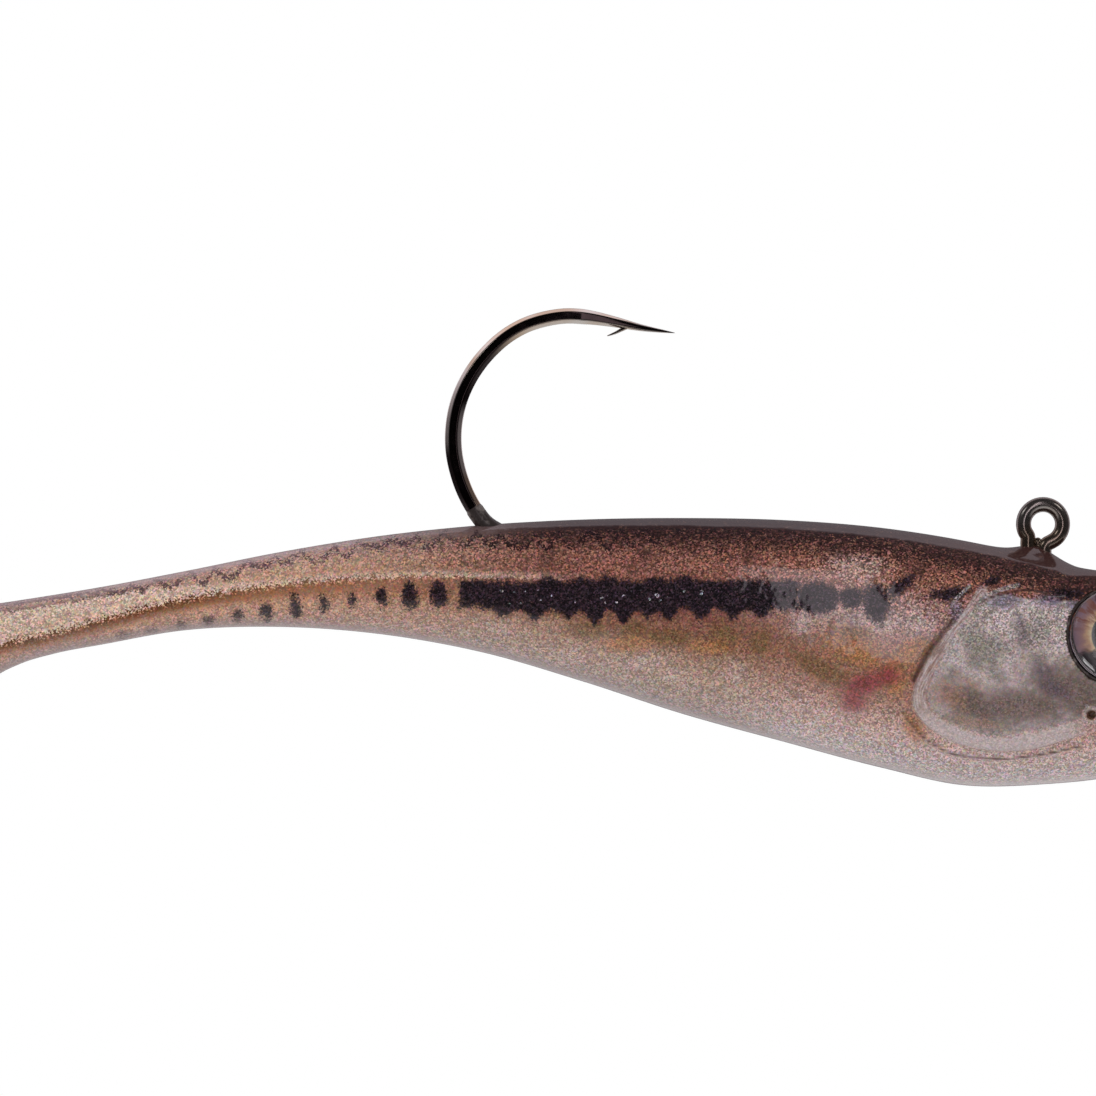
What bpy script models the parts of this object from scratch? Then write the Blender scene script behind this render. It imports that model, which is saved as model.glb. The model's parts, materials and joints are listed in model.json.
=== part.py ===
"""Soft swimbait with a moulded-in jig hook, modelled in Blender as separate solids.

Frame: +X towards the snout, +Y to the bait's left side, +Z up, origin at the centre of the line tie ring.
The bait is 138 mm long. Lengths in this file are millimetres, and MM turns them into Blender's metres.
"""

import math

import bmesh
import bpy
from mathutils import Matrix, Vector

MM = 0.001

# The body's outline, from the snout to the paddle's rear face. Each station is a ring:
# top x, top z, bottom x, bottom z, half width, and the power of its superellipse (2 is an ellipse).
STATIONS = (
    (22.0, -16.4, 22.0, -17.3, 0.7, 2.0),
    (21.5, -14.9, 21.5, -18.4, 2.0, 2.0),
    (20.0, -12.9, 20.0, -19.8, 3.3, 2.1),
    (17.0, -10.3, 17.0, -21.6, 4.6, 2.2),
    (12.5, -7.7, 12.5, -23.7, 5.7, 2.4),
    (7.0, -5.5, 7.0, -25.2, 6.5, 2.5),
    (0.0, -3.45, 0.0, -26.0, 7.1, 2.5),
    (-8.0, -1.65, -8.0, -26.1, 7.4, 2.4),
    (-16.0, -0.4, -16.0, -24.4, 7.2, 2.3),
    (-26.0, 0.4, -26.0, -21.75, 6.7, 2.2),
    (-36.0, 0.6, -36.0, -19.0, 6.0, 2.1),
    (-46.0, 0.45, -46.0, -15.75, 5.1, 2.0),
    (-56.0, -0.1, -56.0, -12.85, 4.1, 2.0),
    (-66.0, -1.15, -66.0, -11.05, 3.3, 2.0),
    (-76.0, -2.75, -76.0, -10.3, 2.7, 2.0),
    (-86.0, -4.75, -86.0, -10.65, 2.2, 2.0),
    (-94.2, -6.3, -93.8, -12.0, 1.9, 2.0),
    (-100.6, -7.35, -99.0, -13.0, 1.9, 2.0),
    (-105.0, -8.0, -102.3, -14.0, 2.1, 2.0),
    (-108.8, -8.4, -105.0, -15.5, 2.6, 2.0),
    (-111.5, -8.1, -107.2, -18.2, 3.8, 2.0),
    (-113.3, -7.1, -108.4, -21.2, 5.2, 2.1),
    (-114.6, -6.4, -109.2, -22.7, 5.8, 2.2),
    (-115.7, -6.4, -110.4, -22.8, 5.8, 2.2),
    (-116.3, -7.1, -111.3, -22.2, 5.2, 2.2),
)
RING_POINTS = 20
RING_STEP = 4.2

# Layers, each measured inwards from the outer surface.
GAP = 0.3
SKIN_WALL = 0.8
SNOUT_WALL = 0.4
FILM_WALL = 0.3
FILM_INSET = SKIN_WALL + GAP
CORE_INSET = FILM_INSET + FILM_WALL + GAP
FADE_START = 8.0
FILM_FRONT = 16.0
FILM_REAR = -61.0
FILM_TOP = math.radians(62)
FILM_BOTTOM = math.radians(-58)
FILM_ARC_POINTS = 8

# The tail bends from side to side about four upright axes.
TAIL_JOINTS = (-65.0, -76.0, -87.0, -98.0)
TAIL_SWING = math.radians(25)
JOINT_STEPS = 14
JOINT_SPARE = 1.0
TRUNK_REAR = -71.0

# The hook is one wire, forged a little deeper in its bend. Its paths are (x, z) points: from the hook's point
# to the shank, from the shank's front end up the neck, and from the ring down beside the neck.
WIRE_RADIUS = 0.75
FORGED_RADIUS = 0.83
FORGED_AT, FORGED_LENGTH = 30.0, 14.0
POINT_TAPER, POINT_SHARE = 9.5, 0.06
WIRE_SIDES = 10
BEND_PATH = (
    (-36.8, 19.1),
    (-40.3, 19.65),
    (-42.8, 20.2),
    (-45.5, 20.68),
    (-47.8, 20.8),
    (-49.8, 20.5),
    (-51.7, 19.9),
    (-53.5, 18.9),
    (-55.3, 17.35),
    (-57.2, 14.9),
    (-58.4, 12.3),
    (-58.95, 9.4),
    (-58.9, 7.2),
    (-58.5, 5.2),
    (-57.7, 3.0),
    (-56.4, 0.8),
    (-54.5, -1.3),
    (-51.8, -3.2),
    (-48.0, -4.4),
    (-40.0, -5.35),
)
NECK_PATH = (
    (-6.0, -8.85),
    (-3.4, -8.8),
    (-1.8, -7.7),
    (-1.3, -6.0),
    (-1.35, -4.2),
    (-1.45, -2.9),
    (-1.52, -2.0),
)
RING_RADIUS = 1.95
RETURN_PATH = ((0.33, -2.05), (0.11, -2.5), (0.10, -2.95))
RING_START, RING_END = math.radians(218), math.radians(-66)
RING_STEPS = 18
BEND_STEP, NECK_STEP = 1.9, 0.75
BARB_ROOT, BARB_TIP = (-41.8, 19.65), (-43.6, 18.75)
BARB_RADII = (0.32, 0.1)
BARB_SIDES = 8
# The wire's tunnel through the body ends above the back at both ends.
TUNNEL_TOP, NECK_TOP = 4.0, -2.1

# The lead weight: x, top z, bottom z, half width.
WEIGHT_STATIONS = (
    (15.2, -13.2, -17.4, 1.3),
    (14.0, -11.9, -18.8, 2.4),
    (9.0, -9.6, -21.0, 3.5),
    (2.0, -7.4, -22.6, 4.2),
    (-6.0, -6.1, -22.4, 4.3),
    (-14.0, -5.5, -19.6, 3.8),
    (-20.0, -5.4, -14.0, 2.8),
    (-24.5, -6.1, -10.0, 1.7),
)
WEIGHT_RINGS, WEIGHT_SIDES = 16, 20

# The eyes: a printed disc under a clear dome, in a raised socket.
EYE_CENTRE = Vector((6.4, 5.6, -11.15))
EYE_FORWARD, EYE_UP = math.radians(8), math.radians(12)
EYE_RADIUS = 4.6
EYE_DISC_THICK = 0.5
EYE_DOME_HEIGHT = 1.7
EYE_DOME_EDGE = 0.35
SOCKET_WALL = 0.6
SOCKET_RIM = 0.45
SOCKET_DEPTH = 3.2
EYE_SIDES, DOME_RINGS = 36, 6
EYE_CLEAR = 10.0

# A length well past the body, for cutters.
FAR = 40.0


def clear_scene():
    for obj in list(bpy.data.objects):
        bpy.data.objects.remove(obj)


def material(name, colour, roughness, metallic=0.0):
    made = bpy.data.materials.new(name)
    made.use_nodes = True
    shader = made.node_tree.nodes["Principled BSDF"]
    shader.inputs["Base Color"].default_value = (*colour, 1.0)
    shader.inputs["Roughness"].default_value = roughness
    shader.inputs["Metallic"].default_value = metallic
    return made


def smooth_value(points, u):
    """A value on the smooth curve through points, each ((parameter), (values...)), at parameter u."""
    u = min(max(u, points[0][0]), points[-1][0])
    last = len(points) - 1
    k = next(i for i in range(last) if u <= points[i + 1][0])

    def slope(i):
        def between(a, b):
            step = points[b][0] - points[a][0]
            return [(q - p) / step for p, q in zip(points[a][1], points[b][1])]

        if i == 0:
            return between(0, 1)
        if i == last:
            return between(last - 1, last)
        before, after = between(i - 1, i), between(i, i + 1)
        h0, h1 = points[i][0] - points[i - 1][0], points[i + 1][0] - points[i][0]
        return [(p * h1 + q * h0) / (h0 + h1) for p, q in zip(before, after)]

    h = points[k + 1][0] - points[k][0]
    t = (u - points[k][0]) / h
    weights = (2 * t**3 - 3 * t**2 + 1, (t**3 - 2 * t**2 + t) * h, -2 * t**3 + 3 * t**2, (t**3 - t**2) * h)
    rows = zip(points[k][1], slope(k), points[k + 1][1], slope(k + 1))
    return [sum(w * v for w, v in zip(weights, row)) for row in rows]


def chord_parameters(places):
    """Each place's distance along the chain of places."""
    total, found = 0.0, [0.0]
    for a, b in zip(places, places[1:]):
        total += (Vector(b) - Vector(a)).length
        found.append(total)
    return found


def body_curve():
    middles = [((s[0] + s[2]) / 2, (s[1] + s[3]) / 2) for s in STATIONS]
    ends = [(*m, s[4]) for m, s in zip(middles, STATIONS)]
    return [(u, s) for u, s in zip(chord_parameters(ends), STATIONS)]


BODY = body_curve()


def parameter_at(x):
    """The body curve's parameter where its rings' middle is at x."""
    low, high = BODY[0][0], BODY[-1][0]
    for _ in range(40):
        middle = (low + high) / 2
        station = smooth_value(BODY, middle)
        if (station[0] + station[2]) / 2 > x:
            low = middle
        else:
            high = middle
    return (low + high) / 2


def superellipse(angle, power):
    """(across, up) on a unit superellipse, where angle 0 is the bait's left and pi/2 its back."""
    c, s = math.cos(angle), math.sin(angle)
    across = math.copysign(abs(c) ** (2 / power), c)
    up = math.copysign(abs(s) ** (2 / power), s)
    return across, up


def ring_frame(u, inset):
    """Middle, up vector, half height, half width and power of the body's ring at u, inset from the skin."""
    top_x, top_z, bottom_x, bottom_z, half_width, power = smooth_value(BODY, u)
    top, bottom = Vector((top_x, 0, top_z)), Vector((bottom_x, 0, bottom_z))
    up = (top - bottom).normalized()
    middle = (top + bottom) / 2
    fade = min(max((middle.x - FADE_START) / (STATIONS[0][0] - FADE_START), 0), 1)
    middle.x -= inset * fade
    half_height = (top - bottom).length / 2 - inset
    return middle, up, half_height, half_width - inset, power


def body_ring(u, inset=0.0, angles=None):
    middle, up, half_height, half_width, power = ring_frame(u, inset)
    if angles is None:
        angles = [2 * math.pi * (k + 0.5) / RING_POINTS for k in range(RING_POINTS)]
    ring = []
    for angle in angles:
        across, height = superellipse(angle, power)
        ring.append(middle + Vector((0, half_width * across, 0)) + up * half_height * height)
    return ring


def body_steps(x_front, x_rear):
    """Parameters from x_front to x_rear: at every station, and no further apart than RING_STEP."""
    start, end = parameter_at(x_front), parameter_at(x_rear)
    inner = [u for u, _ in BODY if start + 0.2 < u < end - 0.2]
    marks = [start, *inner, end]
    steps = []
    for a, b in zip(marks, marks[1:]):
        count = max(1, math.ceil((b - a) / RING_STEP))
        steps += [a + (b - a) * k / count for k in range(count)]
    return steps + [end]


def mesh_object(name, made, look=None):
    """An object from a bmesh in millimetres, with its faces turned outwards."""
    bmesh.ops.recalc_face_normals(made, faces=made.faces)
    bmesh.ops.scale(made, vec=(MM, MM, MM), verts=made.verts)
    mesh = bpy.data.meshes.new(name)
    made.to_mesh(mesh)
    made.free()
    mesh.shade_smooth()
    mesh.set_sharp_from_angle(angle=math.radians(40))
    obj = bpy.data.objects.new(name, mesh)
    bpy.context.scene.collection.objects.link(obj)
    if look:
        mesh.materials.append(look)
    else:
        obj.hide_render = True
        obj.display_type = "WIRE"
    return obj


def loft(name, rings, look=None):
    """A closed solid through rings of equal length, capped at both ends."""
    made = bmesh.new()
    rows = [[made.verts.new(p) for p in ring] for ring in rings]
    for a, b in zip(rows, rows[1:]):
        for k in range(len(a)):
            n = (k + 1) % len(a)
            made.faces.new((a[k], a[n], b[n], b[k]))
    made.faces.new(rows[0])
    made.faces.new(rows[-1])
    return mesh_object(name, made, look)


def prism(name, outline, low, high, look=None):
    """A solid with an outline of (x, y) points, upright from low to high."""
    rings = [[Vector((x, y, z)) for x, y in outline] for z in (low, high)]
    return loft(name, rings, look)


def cut(obj, cutter, operation="DIFFERENCE"):
    modifier = obj.modifiers.new(f"{operation.lower()}_{cutter.name}", "BOOLEAN")
    modifier.operation = operation
    modifier.object = cutter
    modifier.solver = "EXACT"


def body_loft(name, x_front, x_rear, inset=0.0, look=None):
    return loft(name, [body_ring(u, inset) for u in body_steps(x_front, x_rear)], look)


# ---- tail joints -------------------------------------------------------------------------


def half_width_at(x):
    return ring_frame(parameter_at(x), 0)[3]


def arc(x, radius, start, end):
    """Points on a round joint face, seen from above."""
    angles = [start + (end - start) * k / JOINT_STEPS for k in range(JOINT_STEPS + 1)]
    return [(x + radius * math.cos(a), radius * math.sin(a)) for a in angles]


def nose_outline(x):
    """The round front of the piece that turns about the joint at x, from its right side to its left."""
    return arc(x, half_width_at(x), -math.pi / 2, math.pi / 2)


def seat_outline(x):
    """The hollow that the piece ahead of the joint leaves for that nose, from its right side to its left."""
    radius = half_width_at(x)
    face = radius * math.sin(TAIL_SWING) + GAP
    seat = radius + GAP
    corner = math.acos(face / seat)
    return [(x + face, -FAR), *arc(x, seat, -corner, corner), (x + face, FAR)]


def joint_cutter(x):
    """Everything behind the seat of the joint at x."""
    outline = [*seat_outline(x), (x - 2 * FAR, FAR), (x - 2 * FAR, -FAR)]
    return prism(f"cutter_joint_{-x:.0f}", outline, -FAR, FAR)


def segment_keeper(index):
    """The room of one tail segment, from its own nose to the next joint's seat."""
    x = TAIL_JOINTS[index]
    nose = nose_outline(x)
    if index + 1 < len(TAIL_JOINTS):
        rear = list(reversed(seat_outline(TAIL_JOINTS[index + 1])))
    else:
        rear = [(x - FAR, FAR), (x - FAR, -FAR)]
    outline = [*nose, (x, FAR), *rear, (x, -FAR)]
    return prism(f"keeper_{index + 1}", outline, -FAR, FAR)


def tail_pieces(look):
    last = len(TAIL_JOINTS) - 1
    for index, x in enumerate(TAIL_JOINTS):
        name = "tail_paddle" if index == last else f"tail_segment_{index + 1}"
        front = x + half_width_at(x) + JOINT_SPARE
        rear = STATIONS[-1][0] if index == last else TAIL_JOINTS[index + 1] - JOINT_SPARE
        piece = body_loft(name, front, rear, look=look)
        cut(piece, segment_keeper(index), "INTERSECT")


# ---- hook --------------------------------------------------------------------------------


def ring_path():
    """The line tie's ring, clockwise from the neck over the top and down to the wire's end."""
    angles = [RING_START + (RING_END - RING_START) * k / RING_STEPS for k in range(RING_STEPS + 1)]
    return [(RING_RADIUS * math.cos(a), RING_RADIUS * math.sin(a)) for a in angles]


def sampled(places, step):
    """Points no further apart than step on the smooth curve through places."""
    curve = list(zip(chord_parameters(places), places))
    total = curve[-1][0]
    count = math.ceil(total / step)
    return [Vector(smooth_value(curve, total * k / count)) for k in range(count + 1)]


def wire_path():
    """The wire's centre line as (x, z): the hook's bend, the straight shank, the neck and the ring."""
    return sampled(BEND_PATH, BEND_STEP) + sampled((*NECK_PATH, *ring_path(), *RETURN_PATH), NECK_STEP)


def ellipse_ring(centre, side, deep, wide, count):
    """Points round a wire: deep along side, which lies in the XZ plane, and wide across it."""
    angles = [2 * math.pi * k / count for k in range(count)]
    return [centre + side * deep * math.cos(a) + Vector((0, wide * math.sin(a), 0)) for a in angles]


def wire_tube(name, path, radii_at, look=None):
    """A round or oval wire along a path in the XZ plane. radii_at gives (in plane, across) at a distance."""
    rings = []
    for k, (place, travelled) in enumerate(zip(path, chord_parameters(path))):
        ahead, behind = path[min(k + 1, len(path) - 1)], path[max(k - 1, 0)]
        along = (ahead - behind).normalized()
        side = Vector((-along.y, 0, along.x))
        deep, wide = radii_at(travelled)
        rings.append(ellipse_ring(Vector((place.x, 0, place.y)), side, deep, wide, WIRE_SIDES))
    return loft(name, rings, look)


def hook_radii(travelled):
    """The wire's radii at a distance from the hook's point: tapered, then forged, then round."""
    taper = min(1.0, (POINT_SHARE + travelled / POINT_TAPER) ** 0.8)
    forged = (FORGED_RADIUS - WIRE_RADIUS) * math.exp(-(((travelled - FORGED_AT) / FORGED_LENGTH) ** 2))
    return (WIRE_RADIUS + forged) * taper, (WIRE_RADIUS - forged) * taper


def jig_hook(look):
    hook = wire_tube("jig_hook", wire_path(), hook_radii, look)
    root, tip = (Vector((x, 0, z)) for x, z in (BARB_ROOT, BARB_TIP))
    along = (tip - root).normalized()
    side = Vector((-along.z, 0, along.x))
    rings = [ellipse_ring(place, side, r, r, BARB_SIDES) for place, r in zip((root, tip), BARB_RADII)]
    cut(hook, loft("adder_barb", rings), "UNION")


def wire_cutter():
    """The wire's own tunnel through the soft body and the weight, from above the back to above the neck."""
    path = wire_path()
    start = next(k for k, p in enumerate(path) if p.y < TUNNEL_TOP)
    end = next(k for k, p in enumerate(path) if p.x > NECK_PATH[0][0] and p.y > NECK_TOP)
    radius = FORGED_RADIUS + GAP
    return wire_tube("cutter_wire", path[start:end], lambda _: (radius, radius))


# ---- weight ------------------------------------------------------------------------------


def weight_loft(name, grow=0.0, look=None):
    """The weight's outer shape, or a copy of it that is larger by grow all round."""
    curve = [(-station[0], station) for station in WEIGHT_STATIONS]
    start, end = curve[0][0], curve[-1][0]
    angles = [2 * math.pi * (k + 0.5) / WEIGHT_SIDES for k in range(WEIGHT_SIDES)]
    rings = []
    for k in range(WEIGHT_RINGS + 1):
        share = k / WEIGHT_RINGS
        x, top, bottom, half = smooth_value(curve, start + (end - start) * share)
        middle = Vector((x + grow * (1 - 2 * share), 0, (top + bottom) / 2))
        wide, high = half + grow, (top - bottom) / 2 + grow
        rings.append([middle + Vector((0, wide * math.cos(a), high * math.sin(a))) for a in angles])
    return loft(name, rings, look)


# ---- eyes --------------------------------------------------------------------------------


def eye_frame(side):
    """Placement of one eye: its local +Z looks out of the head, its origin is on the disc's front face."""
    outward = Vector((math.sin(EYE_FORWARD), side * math.cos(EYE_FORWARD), math.tan(EYE_UP))).normalized()
    centre = Vector((EYE_CENTRE.x, side * EYE_CENTRE.y, EYE_CENTRE.z)) * MM
    return Matrix.Translation(centre) @ outward.to_track_quat("Z", "Y").to_matrix().to_4x4()


def turned(name, profile, side, look=None):
    """A solid turned about an eye's axis, from a profile of (radius, height) that starts and ends on it."""
    made = bmesh.new()
    ends = [made.verts.new((0, 0, profile[k][1])) for k in (0, -1)]
    rows = []
    for radius, height in profile[1:-1]:
        angles = [2 * math.pi * i / EYE_SIDES for i in range(EYE_SIDES)]
        rows.append([made.verts.new((radius * math.cos(a), radius * math.sin(a), height)) for a in angles])
    for i in range(EYE_SIDES):
        n = (i + 1) % EYE_SIDES
        made.faces.new((ends[0], rows[0][n], rows[0][i]))
        made.faces.new((ends[1], rows[-1][i], rows[-1][n]))
        for a, b in zip(rows, rows[1:]):
            made.faces.new((a[i], a[n], b[n], b[i]))
    obj = mesh_object(name, made, look)
    obj.matrix_world = eye_frame(side)
    return obj


def cylinder_profile(radius, low, high):
    return ((0, low), (radius, low), (radius, high), (0, high))


def dome_profile():
    """The dome, which starts a gap above its disc."""
    points = [(0, GAP), (EYE_RADIUS, GAP)]
    for k in range(DOME_RINGS):
        angle = math.pi / 2 * k / DOME_RINGS
        height = GAP + EYE_DOME_EDGE + (EYE_DOME_HEIGHT - EYE_DOME_EDGE) * math.sin(angle)
        points.append((EYE_RADIUS * math.cos(angle), height))
    return (*points, (0, GAP + EYE_DOME_HEIGHT))


def eyes(disc_look, dome_look):
    for side, word in ((1, "left"), (-1, "right")):
        disc = cylinder_profile(EYE_RADIUS, -EYE_DISC_THICK, 0)
        turned(f"eye_disc_{word}", disc, side, disc_look)
        turned(f"eye_dome_{word}", dome_profile(), side, dome_look)


def socket_cutter(side, clearance, name):
    radius = EYE_RADIUS + clearance
    return turned(name, cylinder_profile(radius, -EYE_DISC_THICK - GAP, EYE_CLEAR), side)


# ---- soft body ---------------------------------------------------------------------------


def film(side, word, look):
    """The printed film on one flank, a thin sheet between the skin and the core."""
    angles = [FILM_BOTTOM + (FILM_TOP - FILM_BOTTOM) * k / FILM_ARC_POINTS for k in range(FILM_ARC_POINTS + 1)]
    if side < 0:
        angles = [math.pi - a for a in angles]
    rings = []
    for u in body_steps(FILM_FRONT, FILM_REAR):
        outer = body_ring(u, FILM_INSET, angles)
        inner = body_ring(u, FILM_INSET + FILM_WALL, list(reversed(angles)))
        rings.append(outer + inner)
    sheet = loft(f"print_film_{word}", rings, look)
    cut(sheet, socket_cutter(side, SOCKET_WALL + GAP, f"cutter_film_{word}"))


def clear_skin(look, shared_cutters):
    skin = body_loft("clear_skin", STATIONS[0][0], TRUNK_REAR, look=look)
    for side, word in ((1, "left"), (-1, "right")):
        boss = cylinder_profile(EYE_RADIUS + GAP + SOCKET_WALL, -SOCKET_DEPTH, SOCKET_RIM)
        cut(skin, turned(f"adder_socket_{word}", boss, side), "UNION")
    hollow_front, hollow_rear = STATIONS[0][0] - SNOUT_WALL, TRUNK_REAR - 4
    cut(skin, body_loft("cutter_skin_inside", hollow_front, hollow_rear, SKIN_WALL))
    for cutter in shared_cutters:
        cut(skin, cutter)


def body_core(look, shared_cutters):
    core = body_loft("body_core", STATIONS[1][0], TRUNK_REAR, CORE_INSET, look)
    for cutter in shared_cutters:
        cut(core, cutter)
    cut(core, weight_loft("cutter_weight", GAP))


def lead_weight(look, tunnel):
    cut(weight_loft("lead_weight", look=look), tunnel)


def main():
    clear_scene()
    skin_look = material("clear_skin", (0.62, 0.50, 0.44), 0.12)
    film_look = material("print_film", (0.42, 0.28, 0.21), 0.3)
    core_look = material("soft_core", (0.80, 0.74, 0.72), 0.5)
    lead_look = material("lead", (0.30, 0.31, 0.33), 0.55, 0.9)
    wire_look = material("black_nickel", (0.10, 0.095, 0.10), 0.15, 1.0)
    disc_look = material("eye_print", (0.75, 0.55, 0.25), 0.25, 0.4)
    dome_look = material("eye_dome", (0.85, 0.85, 0.85), 0.05)

    wire = wire_cutter()
    sockets = [socket_cutter(s, GAP, f"cutter_socket_{w}") for s, w in ((1, "left"), (-1, "right"))]
    joint = joint_cutter(TAIL_JOINTS[0])
    shared = [joint, *sockets, wire]

    clear_skin(skin_look, shared)
    film(1, "left", film_look)
    film(-1, "right", film_look)
    body_core(core_look, shared)
    lead_weight(lead_look, wire)
    jig_hook(wire_look)
    eyes(disc_look, dome_look)
    tail_pieces(skin_look)


main()
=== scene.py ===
"""Soft swimbait: the looks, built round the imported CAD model.

The frame is the CAD's: +X towards the snout, +Y to the bait's left, +Z up, origin in the line tie ring.
Lengths in this file are millimetres, and MM turns them into metres. Colours are written as 0 to 255.
"""

import json
import math

import bmesh
import bpy
import numpy as np
from mathutils import Matrix, Vector


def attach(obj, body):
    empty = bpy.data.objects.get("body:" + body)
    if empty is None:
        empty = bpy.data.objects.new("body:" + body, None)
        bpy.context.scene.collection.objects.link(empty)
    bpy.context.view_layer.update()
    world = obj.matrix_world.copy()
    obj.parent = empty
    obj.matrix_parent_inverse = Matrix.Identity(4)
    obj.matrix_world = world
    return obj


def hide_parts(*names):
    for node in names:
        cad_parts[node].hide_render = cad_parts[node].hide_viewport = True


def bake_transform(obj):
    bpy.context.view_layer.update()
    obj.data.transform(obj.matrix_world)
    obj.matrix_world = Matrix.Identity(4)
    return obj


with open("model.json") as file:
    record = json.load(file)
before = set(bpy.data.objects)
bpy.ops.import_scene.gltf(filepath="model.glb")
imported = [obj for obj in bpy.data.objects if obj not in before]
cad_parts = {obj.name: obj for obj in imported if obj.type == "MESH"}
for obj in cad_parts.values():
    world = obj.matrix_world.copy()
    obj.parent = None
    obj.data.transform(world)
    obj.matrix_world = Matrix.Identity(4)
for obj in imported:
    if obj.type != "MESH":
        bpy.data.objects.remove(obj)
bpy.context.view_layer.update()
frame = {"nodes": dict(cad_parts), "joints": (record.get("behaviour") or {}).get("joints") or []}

MM = 0.001

# ---- driving shapes ----

# The body's outline, snout to paddle: top x, top z, bottom x, bottom z, half width, superellipse power.
STATIONS = np.array((
    (22.0, -16.4, 22.0, -17.3, 0.7, 2.0),
    (21.5, -14.9, 21.5, -18.4, 2.0, 2.0),
    (20.0, -12.9, 20.0, -19.8, 3.3, 2.1),
    (17.0, -10.3, 17.0, -21.6, 4.6, 2.2),
    (12.5, -7.7, 12.5, -23.7, 5.7, 2.4),
    (7.0, -5.5, 7.0, -25.2, 6.5, 2.5),
    (0.0, -3.45, 0.0, -26.0, 7.1, 2.5),
    (-8.0, -1.65, -8.0, -26.1, 7.4, 2.4),
    (-16.0, -0.4, -16.0, -24.4, 7.2, 2.3),
    (-26.0, 0.4, -26.0, -21.75, 6.7, 2.2),
    (-36.0, 0.6, -36.0, -19.0, 6.0, 2.1),
    (-46.0, 0.45, -46.0, -15.75, 5.1, 2.0),
    (-56.0, -0.1, -56.0, -12.85, 4.1, 2.0),
    (-66.0, -1.15, -66.0, -11.05, 3.3, 2.0),
    (-76.0, -2.75, -76.0, -10.3, 2.7, 2.0),
    (-86.0, -4.75, -86.0, -10.65, 2.2, 2.0),
    (-94.2, -6.3, -93.8, -12.0, 1.9, 2.0),
    (-100.6, -7.35, -99.0, -13.0, 1.9, 2.0),
    (-105.0, -8.0, -102.3, -14.0, 2.1, 2.0),
    (-108.8, -8.4, -105.0, -15.5, 2.6, 2.0),
    (-111.5, -8.1, -107.2, -18.2, 3.8, 2.0),
    (-113.3, -7.1, -108.4, -21.2, 5.2, 2.1),
    (-114.6, -6.4, -109.2, -22.7, 5.8, 2.2),
    (-115.7, -6.4, -110.4, -22.8, 5.8, 2.2),
    (-116.3, -7.1, -111.3, -22.2, 5.2, 2.2),
))
AROUND = 208
HEAD_STEP, TRUNK_STEP = 0.15, 0.25
HEAD_REAR = -15.0

# The skin's pieces, from head to tail, with the CAD nodes that each one stands for.
SKIN_PIECES = (
    ("skin_trunk", ("clear_skin", "tail_segment_1")),
    ("skin_tail_1", ("tail_segment_2",)),
    ("skin_tail_2", ("tail_segment_3",)),
    ("skin_paddle", ("tail_paddle",)),
)
# How far the snout and the paddle's end bulge, and the rings that close a rounded end or a flat cut.
SNOUT_SWELL, PADDLE_SWELL = 0.5, 0.35
ROUND_SCALES, CUT_SCALES = (0.72, 0.45, 0.2, 0.0), (0.5, 0.0)

# The hook's wire, as (x, z): from its point to the shank, from the shank's front end up the neck, and from
# the ring down beside the neck.
WIRE_RADIUS, FORGED_RADIUS, RING_RADIUS, POINT_TAPER = 0.75, 0.83, 1.95, 9.5
FORGED_MIDDLE, FORGED_SPREAD = 30.0, 14.0
BEND_PATH = (
    (-36.8, 19.1), (-40.3, 19.65), (-42.8, 20.2), (-45.5, 20.68), (-47.8, 20.8), (-49.8, 20.5),
    (-51.7, 19.9), (-53.5, 18.9), (-55.3, 17.35), (-57.2, 14.9), (-58.4, 12.3), (-58.95, 9.4), (-58.9, 7.2),
    (-58.5, 5.2), (-57.7, 3.0), (-56.4, 0.8), (-54.5, -1.3), (-51.8, -3.2), (-48.0, -4.4), (-40.0, -5.35),
)
NECK_PATH = (
    (-6.0, -8.85), (-3.4, -8.8), (-1.8, -7.7), (-1.3, -6.0), (-1.35, -4.2), (-1.45, -2.9), (-1.52, -2.0),
)
RETURN_PATH = ((0.33, -2.05), (0.11, -2.5), (0.10, -2.95))
RING_START, RING_END = math.radians(218), math.radians(-66)
BARB_PATH = ((-41.3, 19.85), (-42.1, 19.45), (-42.8, 19.1), (-43.6, 18.8))
BARB_RADIUS = 0.26
BEND_MIDDLE = (-49.0, 9.0)
# The metal that fills the notch between the neck and the ring's end: x, z, half length and the two radii.
TIE_FILL = (-0.52, -1.95, 0.62, 0.46, 0.5)
SLEEVE_FROM, SLEEVE_TO = (-57.1, 1.6), (-53.4, -2.2)

# The camera looks along +Y at this place.
VIEW_CENTRE = Vector((-49.5, 0.0, -2.4))
VIEW_WIDTH = 109.6
LENS, SENSOR = 135.0, 36.0
VIEW_DISTANCE = VIEW_WIDTH * LENS / SENSOR

# The eyes: a printed disc under a clear dome. Local +Z looks out of the head.
EYE_CENTRE = Vector((6.4, 5.6, -11.15))
EYE_FORWARD, EYE_UP = math.radians(8), math.radians(12)
EYE_RADIUS, PUPIL_RADIUS = 4.6, 2.3
DISC_THICK, DOME_BASE, DOME_EDGE, DOME_HEIGHT = 0.5, 0.3, 0.35, 1.7
SOCKET_FLOOR, SOCKET_LIP, SOCKET_OUTER = -0.68, 0.2, 4.95
EYE_GAP = 0.05


# ---- small tools ----


def smooth(low, high, value):
    """0 below low, 1 above high and a smooth step between them. high may be below low."""
    t = np.clip((value - low) / (high - low), 0.0, 1.0)
    return t * t * (3 - 2 * t)


def bump(distance, width):
    return np.exp(-((distance / width) ** 2))


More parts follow.
